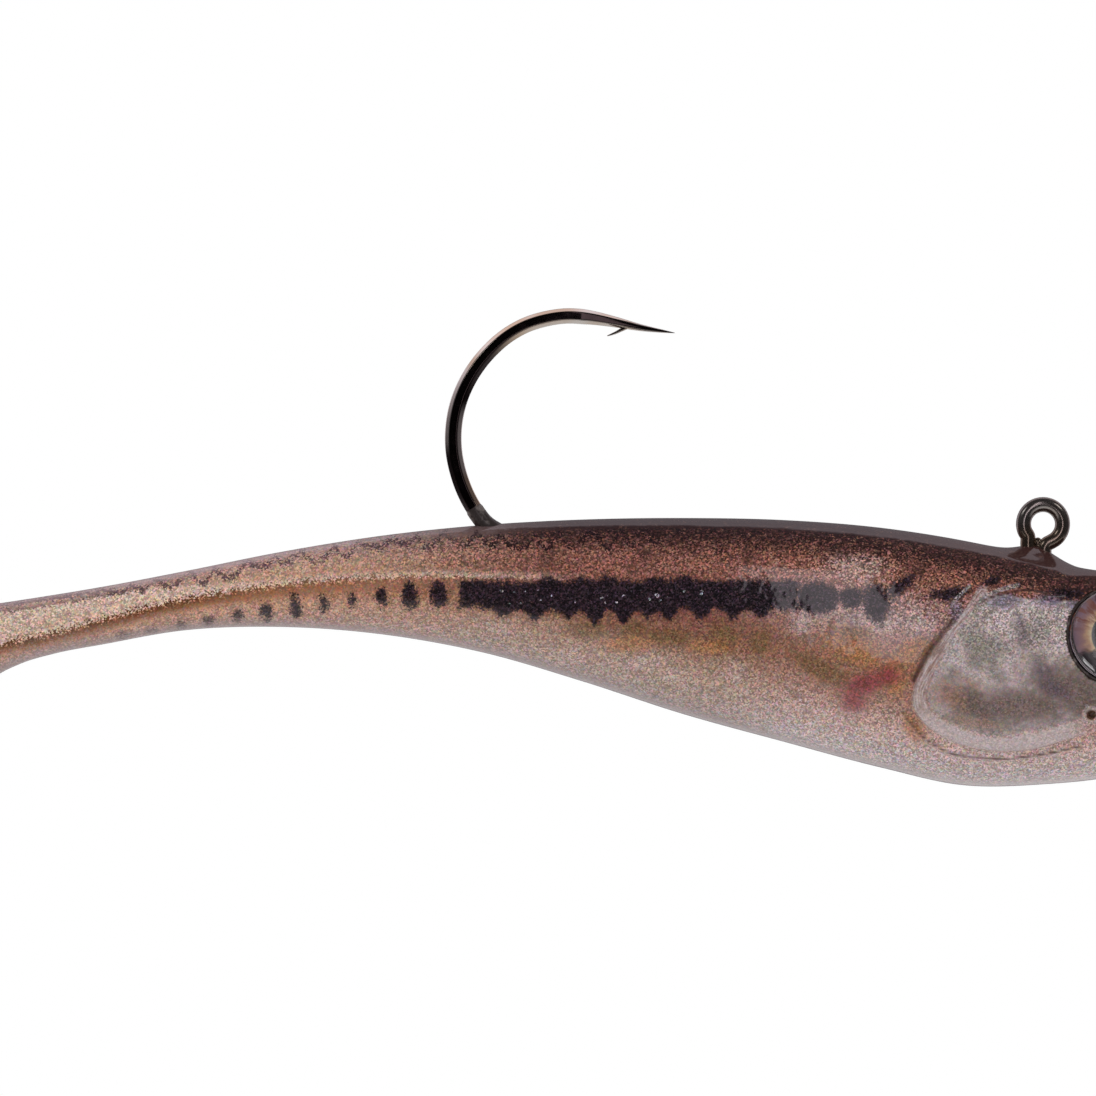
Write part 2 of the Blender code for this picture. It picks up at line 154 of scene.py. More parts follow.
def curve_value(knots, values, at):
    """The smooth curve through values at increasing knots, the same one that the CAD's outline follows."""
    knots, values, at = np.asarray(knots, float), np.asarray(values, float), np.asarray(at, float)
    if values.ndim == 1:
        return curve_value(knots, values[:, None], at)[..., 0]
    steps = np.diff(knots)[:, None]
    rises = np.diff(values, axis=0) / steps
    inner = (rises[:-1] * steps[1:] + rises[1:] * steps[:-1]) / (steps[1:] + steps[:-1])
    slopes = np.vstack((rises[:1], inner, rises[-1:]))
    at = np.clip(at, knots[0], knots[-1])
    k = np.clip(np.searchsorted(knots, at, side="right") - 1, 0, len(steps) - 1)
    h = steps[k, 0]
    t = (at - knots[k]) / h
    weights = (2 * t**3 - 3 * t**2 + 1, (t**3 - 2 * t**2 + t) * h, -2 * t**3 + 3 * t**2, (t**3 - t**2) * h)
    rows = (values[k], slopes[k], values[k + 1], slopes[k + 1])
    return sum(w[..., None] * row for w, row in zip(weights, rows))


def chord(places):
    """Each place's distance along the chain of places."""
    lengths = np.linalg.norm(np.diff(np.asarray(places, float), axis=0), axis=1)
    return np.concatenate(((0.0,), np.cumsum(lengths)))


def smooth_path(places, step):
    places = np.asarray(places, float)
    knots = chord(places)
    count = int(math.ceil(knots[-1] / step))
    return curve_value(knots, places, np.linspace(0, knots[-1], count + 1))


def distance_to_path(x, z, places):
    """Distance of every (x, z) from a chain of places."""
    best = np.full(np.shape(x), np.inf)
    for (ax, az), (bx, bz) in zip(places, places[1:]):
        dx, dz = bx - ax, bz - az
        t = np.clip(((x - ax) * dx + (z - az) * dz) / (dx * dx + dz * dz), 0, 1)
        best = np.minimum(best, np.hypot(x - ax - t * dx, z - az - t * dz))
    return best


def inside(x, z, places):
    """Whether every (x, z) is inside the closed outline through places."""
    found = np.zeros(np.shape(x), bool)
    for (ax, az), (bx, bz) in zip(places, (*places[1:], places[0])):
        crosses = (az > z) != (bz > z)
        with np.errstate(divide="ignore", invalid="ignore"):
            at = ax + (z - az) * (bx - ax) / (bz - az)
        found ^= crosses & (x < at)
    return found


def signed_distance(x, z, outline):
    """Distance from a closed outline: negative inside it, positive outside."""
    distance = distance_to_path(x, z, (*outline, outline[0]))
    return np.where(inside(x, z, outline), -distance, distance)


def add_object(name, data):
    obj = bpy.data.objects.new(name, data)
    bpy.context.scene.collection.objects.link(obj)
    return obj


def write_vectors(mesh, label, values):
    """A vector attribute on a mesh's points."""
    made = mesh.attributes.new(label, "FLOAT_VECTOR", "POINT")
    made.data.foreach_set("vector", np.asarray(values, np.float32).ravel())


def new_object(name, verts, faces, material, normals=None, attributes=()):
    """A smooth mesh object from vertices in millimetres."""
    mesh = bpy.data.meshes.new(name)
    mesh.from_pydata((np.asarray(verts) * MM).tolist(), [], faces)
    mesh.materials.append(material)
    mesh.shade_smooth()
    if normals is not None:
        mesh.normals_split_custom_set(normals)
    for label, values in attributes:
        write_vectors(mesh, label, values)
    return add_object(name, mesh)


def ring_quads(index):
    """Faces between each ring of vertices and the next."""
    turned = np.roll(index, -1, axis=1)
    return np.stack((index[:-1], index[1:], turned[1:], turned[:-1]), -1).reshape(-1, 4)


# ---- the body's surface ----


def body_knots():
    middles = (STATIONS[:, 0:2] + STATIONS[:, 2:4]) / 2
    return chord(np.column_stack((middles, STATIONS[:, 4])))


KNOTS = body_knots()


def ring_parameters():
    """Ring positions along the body, closer together on the head than behind it."""
    fine = np.linspace(KNOTS[0], KNOTS[-1], 4000)
    rings = curve_value(KNOTS, STATIONS, fine)
    middle_x = (rings[:, 0] + rings[:, 2]) / 2
    step = HEAD_STEP + (TRUNK_STEP - HEAD_STEP) * smooth(HEAD_REAR + 2, HEAD_REAR - 3, middle_x)
    density = np.concatenate(((0.0,), np.cumsum(np.diff(fine) / step[1:])))
    return np.interp(np.arange(0, density[-1]), density, fine)


def body_grid(at):
    """Points of the plain body, one row for each ring, and each point's height on its ring from 1 to -1."""
    ring = curve_value(KNOTS, STATIONS, at)
    top, bottom = ring[:, 0:2], ring[:, 2:4]
    middle, half = (top + bottom) / 2, (top - bottom) / 2
    angle = 2 * math.pi * (np.arange(AROUND) + 0.5) / AROUND
    c, s = np.cos(angle)[None, :], np.sin(angle)[None, :]
    power = 2 / ring[:, 5:6]
    across = np.sign(c) * np.abs(c) ** power
    height = np.sign(s) * np.abs(s) ** power
    x = middle[:, 0:1] + half[:, 0:1] * height
    z = middle[:, 1:2] + half[:, 1:2] * height
    return np.stack((x, ring[:, 4:5] * across, z), -1), height, np.linalg.norm(half, axis=1)[:, None]


def grid_normals(points):
    """Unit normals of a grid whose rows are closed rings."""
    along = np.gradient(points, axis=0)
    around = np.roll(points, -1, axis=1) - np.roll(points, 1, axis=1)
    normal = np.cross(along, around)
    length = np.linalg.norm(normal, axis=2, keepdims=True)
    return normal / np.maximum(length, 1e-9)


def eye_matrix(side):
    outward = Vector((math.sin(EYE_FORWARD), side * math.cos(EYE_FORWARD), math.tan(EYE_UP))).normalized()
    centre = Vector((EYE_CENTRE.x, side * EYE_CENTRE.y, EYE_CENTRE.z))
    return Matrix.Translation(centre) @ outward.to_track_quat("Z", "Y").to_matrix().to_4x4()


def eye_local(points, side):
    matrix = np.array(eye_matrix(side).inverted())
    return points @ matrix[:3, :3].T + matrix[:3, 3]


# ---- shapes on the head ----


def side_view(points):
    """(x, z) as seen from the side at the camera's distance, where the near flank looks a little larger.

    The shapes below are laid out in this view.
    """
    scale = VIEW_DISTANCE / (VIEW_DISTANCE - np.abs(points[..., 1]))
    centre_x, _, centre_z = VIEW_CENTRE
    return centre_x + (points[..., 0] - centre_x) * scale, centre_z + (points[..., 2] - centre_z) * scale


# The gill cover's edge and, inside it, the edge of its printed plate. Both start at the sharp upper point.
COVER = (
    (-6.3, -6.3), (-8.1, -9.0), (-10.2, -11.8), (-12.1, -14.6), (-13.0, -16.8), (-12.9, -18.4),
    (-11.9, -19.9), (-10.1, -21.2), (-7.6, -22.2), (-4.4, -22.7), (-1.0, -22.5), (2.5, -21.5), (6.5, -20.2),
    (9.5, -18.4), (9.5, -12.0), (6.0, -7.4), (3.0, -7.2), (0.3, -6.9), (-2.4, -6.6), (-4.4, -6.6),
)
PLATE = (
    (-6.3, -7.3), (-8.3, -10.2), (-10.2, -13.4), (-11.2, -15.5), (-11.7, -17.4), (-10.9, -18.8),
    (-8.3, -20.4), (-4.8, -21.3), (-1.3, -20.9), (2.4, -19.9), (5.2, -18.8), (9.0, -18.0), (9.5, -12.0),
    (6.0, -7.8), (3.0, -7.7), (0.0, -7.6), (-2.5, -7.3), (-4.4, -7.0),
)
THROAT_RIDGE = ((-13.8, -19.2), (-12.1, -21.2), (-9.3, -22.9), (-5.1, -23.5), (-0.3, -23.1), (4.0, -22.2))
CHEEK_LINE = ((-2.8, -8.2), (-2.6, -9.5), (-2.1, -11.1), (-1.3, -13.2), (-0.6, -14.4))
REAR_LINE = ((-9.0, -9.6), (-10.6, -11.7), (-12.0, -13.7), (-12.9, -15.6))
REAR_STREAK = ((-7.3, -6.1), (-8.3, -7.1), (-9.2, -8.1))
# A grey crescent at the top of the gill cover, painted as a highlight.
CRESCENT_HIGHLIGHT = ((-6.0, -7.3), (-4.3, -6.6), (-2.5, -6.1))
CRESCENT_LINE = ((-6.1, -7.55), (-4.4, -7.1), (-2.6, -6.7), (-1.0, -6.6), (0.4, -7.0))
MOUTH_LINE = ((4.8, -19.1), (9.0, -18.5), (14.0, -17.7), (19.0, -17.0), (23.0, -16.75))
MOUTH_CORNER = (4.8, -19.1)
NOSTRIL = (15.3, -12.3)
NECK_MOUND = (-0.6, 2.4, 1.7, 1.1)


def rounded(outline, step=0.3):
    """A closed outline's smooth curve, with its first point kept sharp."""
    return [tuple(p) for p in smooth_path((*outline, outline[0]), step)[:-1]]


COVER_EDGE, PLATE_EDGE = rounded(COVER), rounded(PLATE)


def relief(points, normals):
    """How far each point of the skin stands out along its normal."""
    x, z = side_view(points)
    flank = smooth(0.2, 0.55, np.abs(normals[..., 1]))
    cover = signed_distance(x, z, COVER_EDGE)
    plate = signed_distance(x, z, PLATE_EDGE)
    behind = smooth(6.5, 1.5, x)
    low = smooth(-9.0, -13.0, z)
    raised = 0.28 * smooth(0.18, -0.3, cover) * (0.35 + 0.65 * smooth(-9.0, -1.0, cover))
    rim = 0.16 * bump(cover + 0.55, 0.38) * (0.2 + 0.8 * low)
    groove = -0.10 * bump(cover - 0.3, 0.25) * (0.3 + 0.7 * low)
    dished = -0.10 * smooth(0.1, -0.7, plate)
    gill = (raised + rim + groove + dished) * behind
    throat = distance_to_path(x, z, smooth_path(THROAT_RIDGE, 0.4))
    ridge = 0.13 * bump(throat, 0.22) - 0.08 * bump(throat - 0.5, 0.25)
    cheek = -0.06 * bump(distance_to_path(x, z, smooth_path(CHEEK_LINE, 0.4)), 0.8)
    mouth_gap = distance_to_path(x, z, MOUTH_LINE)
    mouth = -0.42 * bump(mouth_gap, 0.26) + 0.16 * bump(mouth_gap - 0.75, 0.42)
    corner = np.hypot(x - MOUTH_CORNER[0], (z - MOUTH_CORNER[1]) * 1.3)
    mouth = mouth - 0.3 * bump(corner, 0.34) + 0.14 * bump(corner - 0.75, 0.25)
    nostril = np.hypot((x - NOSTRIL[0]) * 0.8, z - NOSTRIL[1])
    nose = -0.32 * bump(nostril, 0.42) + 0.12 * bump(nostril - 0.8, 0.3)
    forward = smooth(0.0, 0.3, np.abs(normals[..., 1]) + normals[..., 0])
    return (gill + ridge + cheek + nose) * flank + mouth * forward


def socket(points):
    """Sinks the skin behind each eye and raises it round the rim, along the eye's own axis."""
    for side in (1, -1):
        local = eye_local(points, side)
        radius = np.hypot(local[..., 0], local[..., 1])
        near = (points[..., 1] * side > 0) & (local[..., 2] > -4)
        weight = smooth(8.4, 5.2, radius) * near
        target = SOCKET_FLOOR + (0.1 - SOCKET_FLOOR) * smooth(4.6, 4.8, radius)
        local[..., 2] += (target - local[..., 2]) * weight
        matrix = np.array(eye_matrix(side))
        moved = local @ matrix[:3, :3].T + matrix[:3, 3]
        points = np.where(near[..., None], moved, points)
    return points


def moulded(points):
    normals = grid_normals(points)
    points = points + normals * relief(points, normals)[..., None]
    x0, length, width, height = NECK_MOUND
    lift = height * bump(points[..., 0] - x0, length) * bump(points[..., 1], width)
    points[..., 2] += lift * (normals[..., 2] > 0)
    return socket(points)


# ---- where the print's marks are ----

# The lateral stripe: its middle, its teeth below (x, length) and its bumps above.
STRIPE_FRONT, STRIPE_REAR, STRIPE_HALF = -24.4, -58.4, 1.4
STRIPE_LINE = (
    (-93, -11.4), (-86, -10.2), (-80, -9.1), (-72, -7.9), (-66, -7.3), (-60, -7.0), (-48, -7.3),
    (-40, -7.1), (-34, -7.1), (-25, -7.1), (-18, -7.4),
)
STRIPE_TEETH = (
    (-54.0, 0.9), (-50.8, 1.0), (-47.5, 0.8), (-44.8, 1.5), (-41.9, 1.5), (-39.5, 0.8), (-37.4, 1.2),
    (-34.2, 1.1), (-31.0, 1.1), (-28.2, 0.9),
)
STRIPE_BUMPS = ((-49.4, 0.7), (-46.2, 0.6), (-43.6, 0.5), (-38.9, 0.4), (-35.8, 0.5))
# Spots from the tail's end to the stripe: their spacing, and each one's half length and half height.
SPOT_START, SPOT_SPACING = -92.0, 2.87
SPOTS = (
    (0.5, 0.42), (0.45, 0.45), (0.5, 0.5), (0.52, 0.5), (0.55, 0.7), (0.55, 0.9), (0.55, 1.15),
    (0.42, 0.75), (0.35, 0.6), (0.6, 1.0), (0.85, 1.5), (0.95, 1.35),
)
# The stripe breaks up ahead of its front end: x, z, half length, half height, tilt.
BLOTS = (
    (-22.6, -7.4, 2.2, 1.6, 0.0), (-19.2, -7.4, 1.2, 1.0, 0.2), (-16.7, -8.0, 1.3, 2.0, 0.2),
    (-14.3, -6.3, 1.9, 0.6, 0.65), (-9.4, -7.0, 2.0, 0.62, 0.1), (-5.2, -5.7, 0.9, 0.4, 0.3),
    (2.2, -7.0, 1.7, 0.5, -0.05),
)
RIDGE_LINE = (
    (-117, -13.4), (-104.3, -12.0), (-99.3, -11.0), (-94.3, -9.7), (-89.3, -8.35), (-84.3, -7.3),
    (-79.3, -6.5), (-72, -5.75), (-63, -5.35), (-50, -5.6), (-42, -5.8),
)
# Soft patches of the print, each x, z, half length, half height, tilt.
OLIVE = (
    (-45.5, -10.6, 2.2, 0.9, 0.0), (-41.0, -10.7, 1.6, 1.1, 0.3), (-37.6, -11.4, 2.6, 1.0, 0.0),
    (-32.0, -11.2, 1.5, 1.5, -0.4), (-28.3, -11.8, 1.2, 1.4, 0.4), (-22.0, -14.7, 3.8, 1.1, -0.5),
    (-19.0, -10.9, 1.7, 0.8, 0.0), (-11.6, -12.6, 0.9, 1.6, 0.4),
)
GOLD = (
    (-18.6, -12.8, 3.2, 1.5, -0.35), (-15.0, -15.2, 1.5, 2.2, 0.1), (-33.5, -12.4, 2.4, 0.8, 0.0),
    (-12.9, -20.3, 1.1, 1.8, 0.5), (-41.5, -12.0, 2.6, 0.8, 0.0), (-13.2, -12.8, 1.3, 1.4, 0.0),
)
RED = ((-17.8, -16.0, 3.0, 1.3, 0.35), (-18.9, -17.6, 1.6, 1.5, 0.0), (-15.6, -15.2, 1.6, 1.2, 0.3))
PALE = (
    (-39.5, -13.9, 2.4, 1.0, 0.0), (-36.9, -15.1, 1.2, 0.9, 0.0), (-30.8, -14.9, 1.2, 1.3, 0.0),
    (-24.0, -10.2, 1.5, 1.0, 0.3), (-16.6, -9.9, 2.0, 1.2, -0.2), (-18.6, -4.3, 3.4, 1.3, -0.1),
    (-47.0, -13.3, 1.6, 0.8, 0.0), (-12.6, -9.9, 1.2, 1.2, 0.0), (-54.5, -10.5, 1.6, 0.8, 0.0),
)
MOTTLES = (
    (-52.0, -1.6, 1.5, 0.8, 0.3), (-47.2, -1.4, 1.4, 1.0, -0.2), (-42.6, -1.5, 1.6, 0.8, 0.2),
    (-37.0, -1.4, 1.5, 1.0, 0.0), (-32.0, -1.3, 1.8, 0.8, 0.1), (-27.0, -1.6, 1.6, 0.7, -0.2),
    (-39.8, -3.2, 0.8, 1.2, 0.0), (-29.4, -3.0, 0.8, 1.0, 0.2), (-49.5, -3.4, 0.8, 1.2, -0.3),
    (-20.4, -2.6, 1.6, 0.8, -0.2), (-12.6, -4.4, 1.2, 0.8, -0.2),
)
VIOLET = (
    (-3.8, -7.7, 1.8, 0.85, 0.1), (0.6, -7.6, 1.6, 0.7, -0.05), (3.1, -8.1, 1.2, 0.55, -0.1),
    (-8.6, -8.9, 0.9, 1.3, 0.2),
)
# The gill plate's own patches.
SHADE = (
    (-2.5, -18.2, 7.0, 2.1, 0.02), (2.5, -16.6, 4.6, 2.6, -0.3), (-7.0, -17.9, 4.0, 1.8, -0.45),
    (5.0, -18.0, 4.0, 1.6, 0.0),
)
DUSK = ((-0.2, -15.0, 1.5, 1.3, -0.5), (0.9, -16.4, 2.2, 0.9, -0.4), (-2.2, -10.6, 0.7, 1.9, 0.1))
GREEN = ((-6.9, -12.0, 1.4, 2.6, 0.15), (-4.6, -15.0, 1.6, 0.8, -0.6), (-9.0, -15.0, 0.8, 0.9, 0.0))
WARM = ((-9.4, -17.2, 2.2, 1.5, -0.5), (-7.6, -15.6, 1.9, 0.35, -0.6), (-6.6, -19.9, 3.0, 0.6, -0.2))


def line_height(line, x):
    knots, heights = zip(*line)
    return curve_value(knots, heights, x)


def reach(x, z, shape):
    """Distance from a tilted ellipse's middle, where 1 is its edge."""
    cx, cz, a, b, tilt = shape
    dx, dz = x - cx, z - cz
    c, s = math.cos(tilt), math.sin(tilt)
    return np.hypot((dx * c + dz * s) / a, (dz * c - dx * s) / b)


def patches(x, z, shapes):
    """Soft patches: 1 in the middle of any of the ellipses, falling to 0 outside them."""
    return np.max([np.exp(-(reach(x, z, shape) ** 2)) for shape in shapes], axis=0)


def stripe_marks(x, z):
    """The spots that grow from the tail into the lateral stripe: about how far inside, in millimetres."""
    middle = line_height(STRIPE_LINE, x)
    low, high = middle - STRIPE_HALF, middle + STRIPE_HALF
    for at, length in STRIPE_TEETH:
        low = low - length * bump(x - at, 0.8)
    for at, height in STRIPE_BUMPS:
        high = high + height * bump(x - at, 0.9)
    found = np.minimum(np.minimum(high - z, z - low), np.minimum(x - STRIPE_REAR, STRIPE_FRONT - x))
    spots = []
    for k, (a, b) in enumerate(SPOTS):
        at = SPOT_START + SPOT_SPACING * k
        spots.append((at, float(line_height(STRIPE_LINE, at)), a, b, 0.12))
    for shape in (*spots, *BLOTS):
        found = np.maximum(found, (1 - reach(x, z, shape)) * min(shape[2:4]))
    return found


def arcs(x, depth):
    """A row of hanging arcs just under the back line: distance from the line, in millimetres."""
    swing = 1 + 0.22 * np.sin(1.7 * x) + 0.18 * np.sin(0.61 * x + 1)
    phase = np.abs(np.sin(math.pi * (x + 85.5 + 0.3 * np.sin(0.9 * x)) / SPOT_SPACING))
    lower = smooth(-62, -52, x)
    line = 0.3 + 0.8 * lower + (1.15 + 0.45 * lower) * phase * swing * smooth(-100, -84, x)
    return np.abs(depth - line)


def strokes(x, z, path, half):
    """A soft line along a path: 1 on the path."""
    return bump(distance_to_path(x, z, smooth_path(path, 0.3)), half)


def print_fields(points, t, depth, rise):
    """Everything that the print's nodes read, as vectors on the points."""
    x, z = side_view(points)
    eye = np.full(np.shape(x), 20.0)
    for side in (1, -1):
        local = eye_local(points, side)
        radius = np.hypot(local[..., 0], local[..., 1])
        eye = np.where(points[..., 1] * side > 0, radius, eye)
    brown = np.maximum(0.75 * strokes(x, z, REAR_LINE, 0.35), strokes(x, z, CRESCENT_LINE, 0.16))
    brown = np.maximum(brown, 0.8 * strokes(x, z, THROAT_RIDGE, 0.16))
    # grey: a grey streak behind the cover's point, and the crescent's painted highlight.
    grey = np.maximum(strokes(x, z, REAR_STREAK, 0.22), strokes(x, z, CRESCENT_HIGHLIGHT, 0.3))
    cover, plate = signed_distance(x, z, COVER_EDGE), signed_distance(x, z, PLATE_EDGE)
    rear = 1 - smooth(-5.9, -5.2, x) * smooth(-9.5, -8.5, z)
    clear = smooth(0.12, -0.08, cover) * smooth(-0.12, 0.12, plate) * smooth(6.0, 2.0, x) * rear
    corner = np.hypot(x - MOUTH_CORNER[0], z - MOUTH_CORNER[1])
    fields = {
        "rest": (x, points[..., 1], z),
        "zones": (t, depth, rise),
        "marks": (stripe_marks(x, z), z - line_height(RIDGE_LINE, x), arcs(x, depth)),
        "edges": (cover, plate, clear),
        "blots": (patches(x, z, OLIVE), patches(x, z, GOLD), patches(x, z, RED)),
        "tints": (patches(x, z, PALE), patches(x, z, VIOLET), grey),
        "cheek": (patches(x, z, SHADE), patches(x, z, GREEN), patches(x, z, WARM)),
        "face": (eye, distance_to_path(x, z, MOUTH_LINE), corner),
        "lines": (brown, patches(x, z, DUSK), patches(x, z, MOTTLES)),
    }
    return [(name, np.stack(np.broadcast_arrays(*parts), -1)) for name, parts in fields.items()]


# ---- materials ----


def linear(colour):
    """A 0 to 255 display colour as Blender's linear RGBA."""
    parts = [c / 255 for c in colour]
    return (*[p / 12.92 if p <= 0.04045 else ((p + 0.055) / 1.055) ** 2.4 for p in parts], 1.0)


def as_colour(value):
    """A 0 to 255 colour of three parts made linear. Anything else stays as it is."""
    return linear(value) if isinstance(value, tuple) and len(value) == 3 else value


class Nodes:
    """A node tree, with one short call for each kind of node. Colours may be 0 to 255 or linear RGBA."""

    def __init__(self, tree):
        self.tree = tree

    def put(self, socket, value):
        if isinstance(value, bpy.types.NodeSocket):
            self.tree.links.new(value, socket)
        else:
            socket.default_value = value

    def node(self, kind, **settings):
        made = self.tree.nodes.new(kind)
        for key, value in settings.items():
            setattr(made, key, value)
        return made

    def field(self, name):
        """The three parts of a vector attribute."""
        source = self.node("ShaderNodeAttribute", attribute_name=name)
        split = self.node("ShaderNodeSeparateXYZ")
        self.put(split.inputs[0], source.outputs["Vector"])
        return split.outputs[0], split.outputs[1], split.outputs[2]

    def vector(self, name):
        return self.node("ShaderNodeAttribute", attribute_name=name).outputs["Vector"]

    def place(self):
        """The point on the object, in metres."""
        return self.node("ShaderNodeTexCoord").outputs["Object"]

    def combine(self, *parts):
        """A vector from two or three numbers."""
        made = self.node("ShaderNodeCombineXYZ")
        for socket, value in zip(made.inputs, parts):
            self.put(socket, value)
        return made.outputs[0]

    def math(self, operation, *values):
        made = self.node("ShaderNodeMath", operation=operation)
        for socket, value in zip(made.inputs, values):
            self.put(socket, value)
        return made.outputs[0]

    def step(self, value, low, high, top=1.0):
        """0 at low and top at high, smoothly."""
        made = self.node("ShaderNodeMapRange", interpolation_type="SMOOTHSTEP")
        for key, number in (("Value", value), ("From Min", low), ("From Max", high), ("To Max", top)):
            self.put(made.inputs[key], number)
        return made.outputs[0]

    def band(self, value, centre, half, soft, top=1.0):
        """top within half of centre, falling to 0 over soft."""
        away = self.math("ABSOLUTE", self.math("SUBTRACT", value, centre))
        return self.step(away, half + soft, half, top)

    def chain(self, operation, values):
        found = values[0]
        for value in values[1:]:
            found = self.math(operation, found, value)
        return found

    def plus(self, *values):
        return self.chain("ADD", values)

    def times(self, *values):
        return self.chain("MULTIPLY", values)

    def minus(self, value, taken):
        return self.math("SUBTRACT", value, taken)

    def centred(self, share):
        """A number from 0 to 1 moved to lie round 0."""
        return self.minus(share, 0.5)

    def either(self, *values):
        """The largest of values."""
        return self.chain("MAXIMUM", values)

    def noise(self, where, scale, detail=2.0, rough=0.5, colour=False):
        made = self.node("ShaderNodeTexNoise")
        for key, value in (("Vector", where), ("Scale", scale), ("Detail", detail), ("Roughness", rough)):
            self.put(made.inputs[key], value)
        return made.outputs["Color" if colour else 0]

    def mix(self, below, above, factor, mode="MIX"):
        made = self.node("ShaderNodeMix", data_type="RGBA", blend_type=mode, clamp_factor=True)
        for k, value in ((0, factor), (6, as_colour(below)), (7, as_colour(above))):
            self.put(made.inputs[k], value)
        return made.outputs[2]

    def cells(self, where, scale):
        """Three random numbers from 0 to 1 for each small cell of the print."""
        made = self.node("ShaderNodeTexVoronoi")
        self.put(made.inputs["Vector"], where)
        self.put(made.inputs["Scale"], scale)
        split = self.node("ShaderNodeSeparateColor")
        self.put(split.inputs[0], made.outputs["Color"])
        return split.outputs[0], split.outputs[1], split.outputs[2]

    def ramp(self, value, stops):
        """A colour that follows value through (place, colour) stops."""
        made = self.node("ShaderNodeValToRGB")
        self.put(made.inputs[0], value)
        for k, (place, colour) in enumerate(stops):
            elements = made.color_ramp.elements
            stop = elements[k] if k < 2 else elements.new(place)
            stop.position, stop.color = place, as_colour(colour)
        return made.outputs[0]

    def bump(self, height, strength, distance):
        made = self.node("ShaderNodeBump")
        for key, value in (("Height", height), ("Strength", strength), ("Distance", distance)):
            self.put(made.inputs[key], value)
        return made.outputs[0]


class Paint(Nodes):
    """A material with its principled shader."""

    def __init__(self, name):
        self.material = bpy.data.materials.new(name)
        self.material.use_nodes = True
        super().__init__(self.material.node_tree)
        self.shader = self.tree.nodes["Principled BSDF"]

    def set(self, **values):
        for key, value in values.items():
            self.put(self.shader.inputs[key.replace("_", " ")], value)
        return self.material


